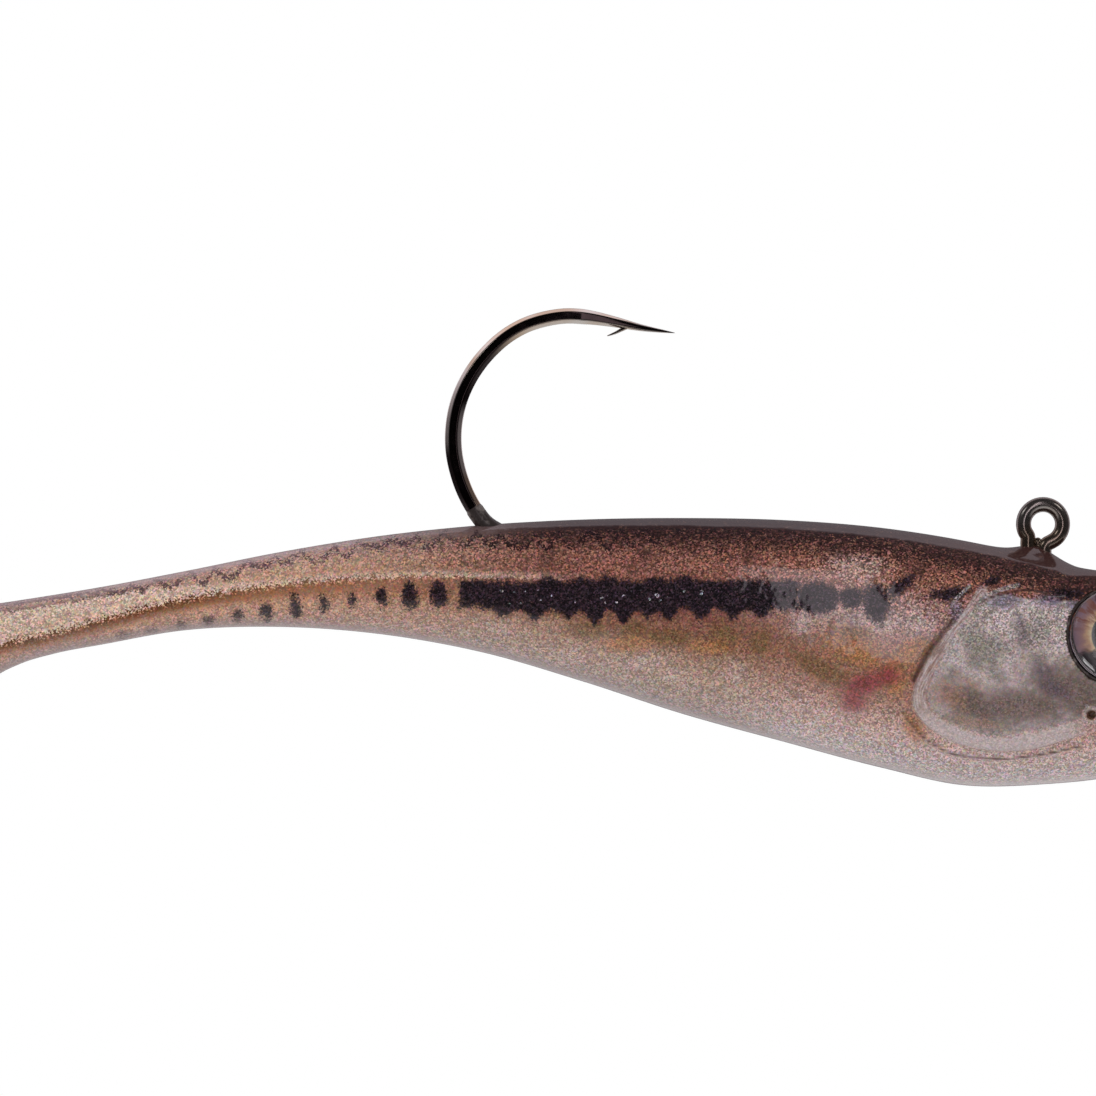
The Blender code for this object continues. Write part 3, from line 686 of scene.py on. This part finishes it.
def skin_material():
    """Printed soft plastic under a clear glossy skin, with a few painted highlights."""
    p = Paint("printed_skin")
    rest = p.vector("rest")
    x, _, z = p.field("rest")
    t, depth, rise = p.field("zones")
    stripe, ridge, arc = p.field("marks")
    cover, plate, clear = p.field("edges")
    olive, gold, red = p.field("blots")
    pale, violet, grey = p.field("tints")
    shade, green, warm = p.field("cheek")
    eye, mouth, corner = p.field("face")
    brown, dusk, mottle = p.field("lines")

    speck, speck_red, speck_blue = p.cells(rest, 7.0)
    fine = p.centred(speck)
    ragged = p.centred(p.noise(rest, 1.6, 3.0, 0.7))
    cloud = p.noise(rest, 0.33, 3.0, 0.6)

    def loose(value, fine_share, ragged_share):
        """value with a printed, speckled edge."""
        return p.plus(value, p.times(fine, fine_share), p.times(ragged, ragged_share))

    def patched(colour, *shapes):
        """Patches over colour, each a shape, its tint and strength, and where its edge starts and ends."""
        for shape, tint, strength, low, high in shapes:
            colour = p.mix(colour, tint, p.step(loose(shape, 0.35, 0.8), low, high, strength))
        return colour

    # From back to belly, for the trunk, the shoulder and the tail.
    height = loose(t, 0.06, 0.16)
    trunk = p.ramp(height, (
        (0.0, (44, 25, 27)), (0.09, (50, 28, 29)), (0.22, (128, 84, 73)), (0.5, (122, 78, 66)),
        (0.62, (134, 96, 78)), (0.76, (160, 130, 114)), (0.9, (168, 146, 136)), (1.0, (156, 140, 137)),
    ))
    shoulder = p.ramp(height, (
        (0.0, (44, 25, 27)), (0.08, (58, 34, 34)), (0.2, (134, 88, 74)), (0.38, (146, 118, 114)),
        (0.56, (138, 98, 80)), (0.72, (152, 114, 100)), (0.84, (182, 154, 146)), (0.95, (184, 169, 167)),
    ))
    tail = p.ramp(height, (
        (0.0, (166, 142, 142)), (0.1, (168, 136, 126)), (0.28, (182, 146, 124)), (0.55, (172, 124, 98)),
        (0.75, (178, 138, 116)), (0.9, (170, 138, 126)), (1.0, (172, 148, 142)),
    ))
    colour = p.mix(trunk, shoulder, p.step(x, -34.0, -22.0))
    colour = p.mix(colour, tail, p.step(loose(x, 3.0, 6.0), -47.0, -76.0))
    hood = p.times(p.step(x, -20.0, -6.0), p.step(loose(depth, 1.2, 1.6), 3.7, 1.9))
    colour = p.mix(colour, (62, 38, 36), p.times(hood, 0.85))

    # The flank's soft patches.
    colour = patched(
        colour,
        (pale, (182, 160, 154), 0.42, 0.1, 1.0),
        (olive, (108, 82, 54), 0.75, 0.1, 0.85),
        (gold, (156, 108, 72), 0.75, 0.1, 0.9),
        (red, (126, 54, 62), 0.85, 0.15, 1.05),
        (mottle, (66, 42, 40), 0.6, 0.1, 1.0),
        (violet, (104, 92, 106), 0.8, 0.2, 0.85),
    )

    # Tail ridge: a cream band, partly pale print and partly a painted highlight, with a brown line under it.
    width = p.plus(0.6, p.times(p.step(x, -77.0, -100.0), 2.7))
    above = p.minus(loose(ridge, 0.35, 0.5), width)
    ridge_band_and_highlight = p.times(p.step(loose(ridge, 0.35, 0.4), -0.1, 0.3), p.step(above, 0.5, -0.5))
    # The cream band widens towards the paddle as the highlight does: pale print and painted highlight in one.
    cream = p.times(p.step(x, -43.0, -56.0), ridge_band_and_highlight)
    for strength in (p.step(x, -50.0, -90.0, 0.3), 0.5):
        colour = p.mix(colour, (206, 184, 168), p.times(cream, strength))
    under = p.times(p.step(x, -54.0, -74.0), p.band(loose(ridge, 1.1, 0.8), -0.4, 0.15, 0.6), 0.7)
    colour = p.mix(colour, (118, 70, 38), under)
    edge_line = p.times(p.step(x, -78.0, -86.0), p.band(loose(ridge, 0.9, 0.5), -0.3, 0.12, 0.4), 0.75)
    colour = p.mix(colour, (100, 62, 38), edge_line)

    # Arcs under the back line, then the stripe's marks and the painted glints in it.
    loose_arc = loose(arc, 0.5, 0.7)
    arc_reach = p.times(p.step(x, -28.0, -40.0), p.step(cloud, 0.3, 0.48, 0.85))
    arc_tint = p.mix((84, 62, 70), (40, 22, 28), p.step(x, -66.0, -54.0))
    colour = p.mix(colour, arc_tint, p.times(p.step(loose_arc, 0.42, 0.1), arc_reach))
    loose_stripe = p.plus(loose(stripe, 0.5, 1.3), p.times(p.centred(p.noise(rest, 4.5, 1.0)), 1.3))
    full = p.plus(0.62, p.step(x, -96.0, -76.0, 0.35))
    colour = p.mix(colour, (32, 23, 32), p.times(p.step(loose_stripe, -0.12, 0.22), full))
    # Painted highlights: a few small pale glints scattered in the stripe.
    glint_cells = p.step(p.cells(rest, 4.6)[0], 0.965, 0.97)
    glint = p.times(glint_cells, p.band(z, -7.3, 0.5, 0.3), p.band(x, -44.0, 10.0, 1.0), p.step(stripe, 0.2, 0.4))
    colour = p.mix(colour, (150, 148, 158), p.times(glint, 0.8))

    # Gill cover: its printed plate, the clear edge round it, the lines beside it and the painted highlight of
    # the crescent above it.
    inner = p.times(p.step(loose(plate, 0.15, 0.3), 0.1, -0.2), p.step(x, 9.0, 5.0))
    silver = p.mix((176, 160, 158), (142, 132, 126), p.step(cloud, 0.42, 0.66))
    silver = patched(
        silver,
        (green, (124, 118, 110), 0.6, 0.2, 0.85),
        (shade, (100, 82, 76), 0.85, 0.1, 0.85),
        (warm, (142, 108, 92), 0.6, 0.2, 0.85),
        (dusk, (88, 76, 84), 0.65, 0.1, 0.95),
        (violet, (108, 98, 114), 0.8, 0.2, 0.85),
    )
    colour = p.mix(colour, silver, inner)
    streak = p.step(p.noise(p.combine(p.times(cover, 4.0), p.times(z, 0.6)), 1.0), 0.35, 0.65)
    rim = p.mix((136, 112, 106), (186, 173, 172), p.either(streak, p.step(z, -17.0, -20.0, 0.9)))
    colour = p.mix(colour, rim, p.times(clear, 0.85))
    colour = p.mix(colour, (52, 30, 28), p.step(loose(brown, 0.25, 0.5), 0.25, 0.85, 0.85))
    # Grey: the streak behind the cover's point, and the painted highlight along the crescent.
    colour = p.mix(colour, (136, 126, 128), p.step(grey, 0.35, 0.8, 0.8))

    # Face: dark round the eye and along the mouth.
    colour = p.mix(colour, (50, 32, 24), p.step(loose(eye, 0.15, 0.1), 5.1, 4.9))
    colour = p.mix(colour, (60, 40, 36), p.step(mouth, 0.5, 0.1, 0.9))
    colour = p.mix(colour, (170, 152, 148), p.band(corner, 0.75, 0.12, 0.15, 0.6))
    colour = p.mix(colour, (74, 50, 38), p.step(corner, 0.55, 0.4, 0.95))

    # Clear edges, where no print shows: along the tail's top and all along the belly.
    rim_top = p.times(p.step(loose(depth, 0.2, 0.3), 0.8, 0.3), p.step(x, -62.0, -84.0))
    colour = p.mix(colour, (168, 146, 148), p.times(rim_top, 0.5))
    crease = p.times(p.band(loose(depth, 0.3, 0.5), 0.9, 0.06, 0.18), p.step(x, -84.0, -92.0), 0.6)
    colour = p.mix(colour, (104, 70, 70), crease)
    rim_low = p.step(loose(rise, 0.3, 0.5), 1.1, 0.2)
    colour = p.mix(colour, (154, 138, 138), p.times(rim_low, p.step(x, -2.0, -16.0), 0.6))

    # Print grain: each speck lighter or darker, with its own tint, and faint blotches of colour.
    smooth_back = p.times(p.step(depth, 1.15, 0.85), p.step(x, -66.0, -54.0))
    rims = p.times(p.either(rim_low, rim_top), 0.6)
    on_gill = p.either(p.times(clear, 0.6), p.times(inner, 0.25))
    keep = p.times(p.minus(1.0, p.either(rims, smooth_back)), p.minus(1.0, on_gill))
    on_back = p.times(p.step(t, 0.5, 0.3), p.step(x, -70.0, -54.0))
    on_stripe = p.step(stripe, -0.1, 0.2)
    strength = p.times(p.plus(1.1, p.times(on_back, 0.9), p.times(on_stripe, 1.6)), keep)
    # The spread of light and dark specks, less what would make the print lighter on the whole.
    light = p.math("EXPONENT", p.minus(p.times(fine, strength), p.times(strength, strength, 1 / 24)))
    blotch = p.node("ShaderNodeSeparateColor")
    p.put(blotch.inputs[0], p.noise(rest, 2.4, 1.0, 0.6, colour=True))
    tints = []
    for share, wide in zip((speck_red, p.noise(rest, 6.0, 0.0), speck_blue), blotch.outputs):
        own = p.plus(p.times(p.centred(share), 0.42), p.times(p.centred(wide), 0.65))
        tints.append(p.times(light, p.math("MULTIPLY_ADD", own, keep, 1.1)))
    colour = p.mix(colour, p.combine(*tints), 1.0, "MULTIPLY")

    waves = p.bump(p.noise(rest, 0.5, 2.0), 0.12, 0.0004)
    p.set(Base_Color=colour, Roughness=0.5, IOR=1.4, Specular_IOR_Level=0.1, Normal=waves, Coat_Normal=waves)
    return p.set(Coat_Weight=1.0, Coat_Roughness=0.06, Coat_IOR=1.45)


def edge_material():
    """Unprinted skin where it is thin: dark, with paler clear patches."""
    p = Paint("clear_edge")
    where = p.place()
    cloud = p.noise(where, 1100.0, 2.0)
    colour = p.mix((46, 35, 32), (98, 88, 84), p.step(cloud, 0.5, 0.66))
    return p.set(Base_Color=colour, Roughness=0.45, Coat_Weight=0.25, Coat_Roughness=0.1)


def wire_material():
    """Black nickel plate on a forged hook, with paler metal painted where highlights fall."""
    p = Paint("black_nickel_plate")
    where = p.place()
    drawn = p.noise(where, 900.0, 3.0, 0.6)
    patch = p.noise(where, 160.0, 2.0)
    painted_highlight, tie, _ = p.field("plate")
    colour = p.mix((236, 228, 220), (214, 190, 166), p.step(patch, 0.42, 0.62))
    # Painted highlights: pale metal along the bends' edges, dark plate elsewhere.
    colour = p.mix((54, 46, 46), colour, painted_highlight)
    rough = p.plus(0.07, p.times(p.step(drawn, 0.4, 0.75), 0.05), p.times(tie, 0.12))
    return p.set(Base_Color=colour, Metallic=1.0, Roughness=rough, Normal=p.bump(drawn, 0.02, 0.0001))


def iris_material():
    """The eye's print: a pupil whose grey edge is a painted reflection, cream and gold round it, violet above
    and black below.
    """
    p = Paint("eye_print")
    x, y, _ = p.field("eye")
    where = p.vector("eye")
    radius = p.math("SQRT", p.plus(p.times(x, x), p.times(y, y)))
    polar = p.combine(p.times(p.math("ARCTAN2", y, x), 7.0), p.times(radius, 0.7))
    streak = p.centred(p.noise(polar, 1.0))
    cloud = p.centred(p.noise(where, 1.1, 3.0, 0.6))
    loose = p.plus(radius, p.times(streak, 0.9), p.times(cloud, 0.8))
    colour = p.ramp(p.times(loose, 0.2), (
        (0.46, (244, 224, 176)), (0.54, (228, 190, 150)), (0.62, (186, 146, 140)), (0.72, (158, 130, 142)),
        (0.84, (122, 104, 122)), (0.92, (74, 56, 66)),
    ))
    rust = p.times(p.step(p.plus(y, p.times(x, 0.3)), 1.2, 2.4), p.step(streak, -0.06, 0.1), 0.75)
    colour = p.mix(colour, (150, 88, 62), rust)
    top = p.step(p.plus(y, p.times(cloud, 1.2)), 2.9, 3.8, 0.8)
    colour = p.mix(colour, (92, 58, 70), top)
    low = p.plus(y, p.times(x, 0.12), p.times(cloud, 1.2))
    colour = p.mix(colour, (14, 11, 18), p.step(low, -0.8, -1.25, 0.97))
    # The pupil's grey edge is a painted reflection in the dome; its middle is black.
    pupil = p.mix((9, 8, 10), (112, 114, 112), p.step(radius, 1.2, PUPIL_RADIUS))
    colour = p.mix(colour, pupil, p.step(radius, PUPIL_RADIUS + 0.05, PUPIL_RADIUS - 0.05))
    return p.set(Base_Color=colour, Roughness=0.3, Coat_Weight=0.3, Coat_Roughness=0.05)


def dome_material():
    """Clear resin."""
    p = Paint("clear_dome")
    where = p.place()
    colour = p.mix((255, 252, 250), (250, 250, 255), p.noise(where, 300.0))
    lit_through = p.minus(1.0, p.node("ShaderNodeLightPath").outputs["Is Shadow Ray"])
    return p.set(Base_Color=colour, Roughness=0.0, IOR=1.4, Transmission_Weight=1.0, Alpha=lit_through)


def plain_material(name, dark, light, scale, roughness, metallic=0.0):
    """A cast or moulded material with two tones and a fine grain, for the parts inside."""
    p = Paint(name)
    where = p.place()
    cloud = p.noise(where, scale, 4.0, 0.6)
    colour = p.mix(dark, light, p.step(cloud, 0.35, 0.65))
    grain = p.bump(p.noise(where, scale * 12, 2.0), 0.2, 0.0001)
    return p.set(Base_Color=colour, Roughness=roughness, Metallic=metallic, Normal=grain)


# ---- pieces ----


def skin_pieces(material):
    """The skin in four pieces, cut midway between the tail joints."""
    at = ring_parameters()
    points, height, half = body_grid(at)
    depth, rise = (1 - height) * half, (1 + height) * half
    points = moulded(points)
    normals = grid_normals(points)
    middle_x = points[..., 0].mean(axis=1) * MM
    joints = [j["pos_m"][0] for j in frame["joints"]]
    cuts = [(a + b) / 2 for a, b in zip(joints, joints[1:])]
    edges = [0, *[int(np.argmax(middle_x < cut)) for cut in cuts], len(at) - 1]
    last = len(SKIN_PIECES) - 1
    for k, (name, covered) in enumerate(SKIN_PIECES):
        rows = slice(edges[k], edges[k + 1] + 1)
        swells = (SNOUT_SWELL if k == 0 else 0.0, PADDLE_SWELL if k == last else 0.0)
        fields = print_fields(points[rows], (1 - height[rows]) / 2, depth[rows], rise[rows])
        obj = tube_piece(name, points[rows], normals[rows], fields, swells, material)
        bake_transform(obj)
        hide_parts(*covered)


def shrunk(rim, scales):
    """Copies of a ring, shrunk towards its middle."""
    middle = rim.mean(axis=0)
    return np.array([middle + (rim - middle) * scale for scale in scales])


def closed_rows(front, grid, rear):
    """A grid's rows between those that close its two ends. Each outermost ring is a single point."""
    return np.vstack((front[-1][:1], *front[-2::-1], *grid, *rear[:-1], rear[-1][:1]))


def tube_piece(name, points, normals, fields, swells, material):
    """A closed piece of skin. swells says how far its front and rear ends bulge, or 0 for a flat cut."""
    around = points.shape[1]
    scales = [ROUND_SCALES if swell else CUT_SCALES for swell in swells]
    outs, caps = [], []
    for rim, beside, swell, sizes in zip((points[0], points[-1]), (points[1], points[-2]), swells, scales):
        out = rim.mean(axis=0) - beside.mean(axis=0)
        out /= np.linalg.norm(out)
        lift = swell * (1 - np.square(sizes))
        outs.append(out)
        caps.append(shrunk(rim, sizes) + lift[:, None, None] * out)
    verts = closed_rows(caps[0], points, caps[1])
    attributes = []
    for label, value in fields:
        front, rear = shrunk(value[0], scales[0]), shrunk(value[-1], scales[1])
        attributes.append((label, closed_rows(front, value, rear)))

    # The skin's own faces keep its normals, and the faces of an end all look the way the end does.
    front_rings, rear_rings = len(scales[0]) - 1, len(scales[1]) - 1
    index = np.arange(1, len(verts) - 1).reshape(-1, around)
    own = index[front_rings:len(index) - rear_rings]
    quads = ring_quads(own)
    faces = quads.tolist()
    loop_normals = [normals.reshape(-1, 3)[quads.ravel() - own[0, 0]]]
    front_end = (outs[0], index[:front_rings + 1], index[0], 0)
    rear_end = (outs[1], index[-rear_rings - 1:], index[-1][::-1], len(verts) - 1)
    for out, rings, inner, hub in (front_end, rear_end):
        quads = ring_quads(rings)
        fan = np.column_stack((inner, np.roll(inner, -1), np.full(around, hub)))
        faces += quads.tolist() + fan.tolist()
        loop_normals.append(np.tile(out, (quads.size + fan.size, 1)))
    return new_object(name, verts, faces, material, np.vstack(loop_normals).tolist(), attributes)


def sweep(name, path, radii, material, sides=40):
    """A closed tube along a path in the XZ plane.

    radii has three numbers for each point: the radius in the plane, the one across it, and the section's
    shape, from 0 for a round wire to 1 for flat sides with bevelled edges.
    """
    path = np.asarray(path)
    along = np.gradient(path, axis=0)
    along /= np.linalg.norm(along, axis=1)[:, None]
    angle = 2 * math.pi * np.arange(sides) / sides
    c, s = np.cos(angle), np.sin(angle)
    bevelled = np.max((np.abs(s) / 0.95, (0.836 * np.abs(c) + 0.5 * np.abs(s)) / 0.893, np.abs(c)), axis=0)
    verts = []
    for (x, z), (dx, dz), (deep, wide, flat) in zip(path, along, radii):
        size = flat / bevelled + 1 - flat
        across = deep * c * size
        verts.append(np.column_stack((x - dz * across, wide * s * size, z + dx * across)))
    index = np.arange(len(path) * sides).reshape(len(path), sides)
    faces = [*ring_quads(index).tolist(), index[0].tolist(), index[-1][::-1].tolist()]
    obj = new_object(name, np.vstack(verts), faces, material)
    outward(obj)
    obj.data.set_sharp_from_angle(angle=math.radians(60))
    return obj


def outward(obj):
    """Turns every face outwards."""
    mesh = bmesh.new()
    mesh.from_mesh(obj.data)
    bmesh.ops.recalc_face_normals(mesh, faces=mesh.faces)
    mesh.to_mesh(obj.data)
    mesh.free()


def round_radii(size, share=1.0):
    """A round section's three numbers for sweep, share as thick in the plane as across it."""
    return np.column_stack((size * share, size, np.zeros(len(size))))


def hook(material):
    """The wire from the hook's point to the line tie, with its barb."""
    angles = np.linspace(RING_START, RING_END, 19)
    ring = np.column_stack((np.cos(angles), np.sin(angles))) * RING_RADIUS
    path = np.vstack((smooth_path(BEND_PATH, 0.16), smooth_path((*NECK_PATH, *ring, *RETURN_PATH), 0.16)))
    travelled = chord(path)
    taper = np.minimum(1.0, (0.012 + travelled / POINT_TAPER) ** 0.8)
    swell = (FORGED_RADIUS - WIRE_RADIUS) * bump(travelled - FORGED_MIDDLE, FORGED_SPREAD)
    flat = smooth(1.0, 8.0, travelled) * smooth(62.0, 50.0, travelled)
    radii = np.column_stack(((WIRE_RADIUS + swell) * taper, (WIRE_RADIUS - swell) * taper, flat))
    obj = sweep("hook_wire", path, radii, material, 56)

    barb_path = smooth_path(BARB_PATH, 0.08)
    travelled = chord(barb_path)
    size = BARB_RADIUS * (1 - travelled / travelled[-1]) ** 0.6 + 0.03
    join(obj, sweep("barb_cutter", barb_path, round_radii(size, 0.8), material, 20))

    x, z, half, deep, wide = TIE_FILL
    turn = np.linspace(0, math.pi, 15)[1:-1]
    fill_path = np.column_stack((np.full(len(turn), x), z + half * np.cos(turn)))
    join(obj, sweep("fill_cutter", fill_path, np.outer(np.sin(turn), (deep, wide, 0)), material, 24))

    paint_hook_highlights(obj)
    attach(obj, "trunk")
    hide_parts("jig_hook")


def paint_hook_highlights(obj):
    """Marks where the plate is painted paler as highlights: outside the upper bend, inside the lower one,
    away from the flat sides, and a little at the tie.
    """
    verts = np.array([v.co for v in obj.data.vertices]) / MM
    x, z = verts[:, 0], verts[:, 2]
    bend = smooth_path(BEND_PATH, 0.1)
    nearest = np.array([bend[np.argmin(np.hypot(*(bend - place).T))] for place in verts[:, (0, 2)]])
    outer = np.hypot(*(verts[:, (0, 2)] - BEND_MIDDLE).T) > np.hypot(*(nearest - BEND_MIDDLE).T)
    above = smooth(6.5, 9.5, z)
    below = np.maximum(smooth(12.5, 10.0, z), 0.75 * smooth(-55.5, -51.5, x))
    facing = np.abs([v.normal.y for v in obj.data.vertices])
    tie = smooth(-20.0, -10.0, x)
    # Painted highlights on the outer edge of the upper bend and the inner edge of the lower one; the tie gets
    # an even share of the pale metal.
    painted_highlight = np.where(outer, above, below) * smooth(0.86, 0.7, facing) * (1 - tie) + 0.36 * tie
    write_vectors(obj.data, "plate", np.column_stack((painted_highlight, tie, np.zeros(len(tie)))))


def join(obj, other):
    """Unites other with obj and removes it."""
    modifier = obj.modifiers.new("join", "BOOLEAN")
    modifier.operation, modifier.object, modifier.solver = "UNION", other, "EXACT"
    bpy.context.view_layer.update()
    graph = bpy.context.evaluated_depsgraph_get()
    mesh = bpy.data.meshes.new_from_object(obj.evaluated_get(graph))
    obj.modifiers.clear()
    obj.data = mesh
    bpy.data.objects.remove(other)


def lathe(name, profile, side, material, is_loop, count=120):
    """A solid turned about an eye's axis from (radius, height) pairs, placed in the head.

    The profile is a closed loop, or it starts and ends on the axis.
    """
    rings = profile if is_loop else profile[1:-1]
    angle = 2 * math.pi * np.arange(count) / count
    verts = [np.column_stack((r * np.cos(angle), r * np.sin(angle), np.full(count, h))) for r, h in rings]
    index = np.arange(len(rings) * count).reshape(len(rings), count)
    if is_loop:
        faces = ring_quads(np.vstack((index, index[:1]))).tolist()
    else:
        faces = ring_quads(index).tolist()
        verts.append(np.array(((0, 0, profile[0][1]), (0, 0, profile[-1][1]))))
        for hub, ring in ((index.size, index[0]), (index.size + 1, index[-1][::-1])):
            faces += np.column_stack((ring, np.roll(ring, -1), np.full(count, hub))).tolist()
    local = np.vstack(verts)
    matrix = np.array(eye_matrix(side))
    placed = local @ matrix[:3, :3].T + matrix[:3, 3]
    obj = new_object(name, placed, faces, material, attributes=[("eye", local * (side, 1, 1))])
    outward(obj)
    obj.data.set_sharp_from_angle(angle=math.radians(50))
    return obj


def eye_profiles():
    """The disc, the dome and the rim round them, as (radius, height) pairs."""
    edge = EYE_RADIUS - 0.1
    disc = [(0, -DISC_THICK), (edge, -DISC_THICK), (EYE_RADIUS, -DISC_THICK + 0.1), (EYE_RADIUS, -0.08)]
    disc += [(EYE_RADIUS * k / 12 - 0.06, 0.0) for k in range(12, 0, -1)]
    disc.append((0, 0))
    shoulder, rise = DOME_BASE + DOME_EDGE, DOME_HEIGHT - DOME_EDGE
    arc = [math.pi / 2 * k / 16 for k in range(16)]
    dome = [(0, DOME_BASE), (edge, DOME_BASE), (EYE_RADIUS, DOME_BASE + 0.08)]
    dome += [(EYE_RADIUS * math.cos(a), shoulder + rise * math.sin(a)) for a in arc]
    dome.append((0, DOME_BASE + DOME_HEIGHT))
    inner = EYE_RADIUS + EYE_GAP
    middle, half = (inner + SOCKET_OUTER) / 2, (SOCKET_OUTER - inner) / 2
    turn = [math.pi * k / 10 for k in range(11)]
    rim = [(middle + half * math.cos(a), SOCKET_LIP - 0.3 + 0.3 * math.sin(a)) for a in turn]
    rim += [(inner, SOCKET_FLOOR + 0.1), (SOCKET_OUTER, SOCKET_FLOOR + 0.1)]
    return disc, dome, rim


def eyes(iris, resin, skin):
    disc, dome, rim = eye_profiles()
    for side, word in ((1, "left"), (-1, "right")):
        for name, profile, look, node, slot in (
            (f"eye_print_{word}", disc, iris, f"eye_disc_{word}", "eye_print"),
            (f"eye_lens_{word}", dome, resin, f"eye_dome_{word}", "eye_dome"),
            (f"eye_rim_{word}", rim, skin, None, "clear_skin"),
        ):
            piece = lathe(name, profile, side, look, is_loop=profile is rim)
            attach(piece, "trunk")
            if node:
                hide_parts(node)


def hook_sleeve(material):
    """The skin that creeps a little way up the wire where the hook leaves the back."""
    path = smooth_path(BEND_PATH, 0.12)
    start, end = (np.argmin(np.hypot(*(path - place).T)) for place in (SLEEVE_FROM, SLEEVE_TO))
    path = path[start:end + 1]
    share = chord(path) / chord(path)[-1]
    size = WIRE_RADIUS + 0.05 + 0.09 * smooth(0.0, 0.06, share) + 0.4 * smooth(0.2, 0.7, share) ** 1.6
    piece = sweep("hook_sleeve", path, round_radii(size), material, 48)
    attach(piece, "trunk")


def inner_parts():
    """The CAD's own parts inside the skin keep their shape and get their materials."""
    looks = {
        "body_core": plain_material("soft_core", (196, 186, 182), (222, 212, 206), 150.0, 0.5),
        "print_film_left": plain_material("print_film", (96, 62, 50), (176, 146, 132), 220.0, 0.3),
        "lead_weight": plain_material("cast_lead", (84, 86, 92), (122, 124, 130), 260.0, 0.55, 0.9),
    }
    looks["print_film_right"] = looks["print_film_left"]
    for node, look in looks.items():
        mesh = frame["nodes"][node].data
        mesh.materials.clear()
        mesh.materials.append(look)


# ---- studio ----

FLOOR_Z = -0.10
# What gloss reflects, from behind the viewer (0) to behind the bait (1).
REFLECTED = ((0.0, 0.02), (0.35, 0.05), (0.66, 0.10), (0.71, 0.95), (0.80, 0.60), (0.90, 0.35), (1.0, 0.12))


def camera():
    data = bpy.data.cameras.new("camera")
    data.lens, data.sensor_width = LENS, SENSOR
    data.clip_start, data.clip_end = 0.01, 10.0
    obj = add_object("camera", data)
    obj.location = (VIEW_CENTRE - Vector((0, VIEW_DISTANCE, 0))) * MM
    obj.rotation_euler = (math.pi / 2, 0, 0)
    bpy.context.scene.camera = obj


def floor():
    """A pale round floor below the bait, which fades into the white surround."""
    count = 96
    angle = 2 * math.pi * np.arange(count) / count
    c, s, level = np.cos(angle), np.sin(angle), np.zeros(count)
    rings = [np.column_stack((radius * c - 45, radius * s, level)) for radius in (60, 180, 320)]
    index = np.arange(len(rings) * count).reshape(len(rings), count)
    p = Paint("floor_pale")
    away = p.node("ShaderNodeVectorMath", operation="DISTANCE")
    p.put(away.inputs[0], p.place())
    p.put(away.inputs[1], (-0.045, 0, 0))
    colour = p.mix((236, 236, 236), (240, 240, 240), p.noise(p.place(), 40.0))
    p.set(Base_Color=colour, Roughness=0.8, Alpha=p.step(away.outputs["Value"], 0.31, 0.12))
    faces = [index[0].tolist(), *ring_quads(index).tolist()]
    obj = new_object("floor", np.vstack(rings), faces, p.material)
    obj.location.z = FLOOR_Z


def softbox(name, at, size, power, aim=(-45.0, 0.0, -8.0), colour=(1.0, 1.0, 1.0)):
    data = bpy.data.lights.new(name, "AREA")
    data.shape = "RECTANGLE"
    data.size, data.size_y = size[0] * MM, size[1] * MM
    data.energy, data.color = power, colour
    obj = add_object(name, data)
    obj.location = Vector(at) * MM
    obj.rotation_euler = (Vector(aim) - Vector(at)).to_track_quat("-Z", "Y").to_euler()
    obj.visible_camera = False


def surround():
    """White to the eye. What gloss reflects is dark on the viewer's side and bright behind the bait."""
    world = bpy.data.worlds.new("surround")
    bpy.context.scene.world = world
    world.use_nodes = True
    world.node_tree.nodes.clear()
    n = Nodes(world.node_tree)
    split = n.node("ShaderNodeSeparateXYZ")
    n.put(split.inputs[0], n.node("ShaderNodeTexCoord").outputs["Generated"])
    away = n.math("MULTIPLY_ADD", split.outputs[1], 0.5, 0.5)
    reflected = n.ramp(away, [(place, (grey, grey * 0.9, grey * 0.97, 1)) for place, grey in REFLECTED])
    shades = []
    for colour in ((1, 1, 1, 1), (0.80, 0.80, 0.81, 1), reflected):
        made = n.node("ShaderNodeBackground")
        n.put(made.inputs[0], colour)
        shades.append(made.outputs[0])
    seen, shade, gloss = shades
    path = n.node("ShaderNodeLightPath")
    for ray, other in (("Is Glossy Ray", gloss), ("Is Camera Ray", seen)):
        choice = n.node("ShaderNodeMixShader")
        for socket, value in zip(choice.inputs, (path.outputs[ray], shade, other)):
            n.put(socket, value)
        shade = choice.outputs[0]
    n.put(n.node("ShaderNodeOutputWorld").inputs[0], shade)


def studio():
    camera()
    surround()
    floor()
    softbox("shoulder_strip", (-12, -376, 115), (53, 335), 0.11, (-20.0, 0.0, -7.0), (1.0, 0.9, 0.97))
    softbox("left_box", (-420, -250, 330), (150, 150), 0.12)
    softbox("right_box", (330, -250, 330), (150, 150), 0.12)
    bpy.context.scene.view_settings.view_transform = "Standard"


studio()
skin_pieces(skin_material())
edge = edge_material()
hook(wire_material())
hook_sleeve(edge)
eyes(iris_material(), dome_material(), edge)
inner_parts()
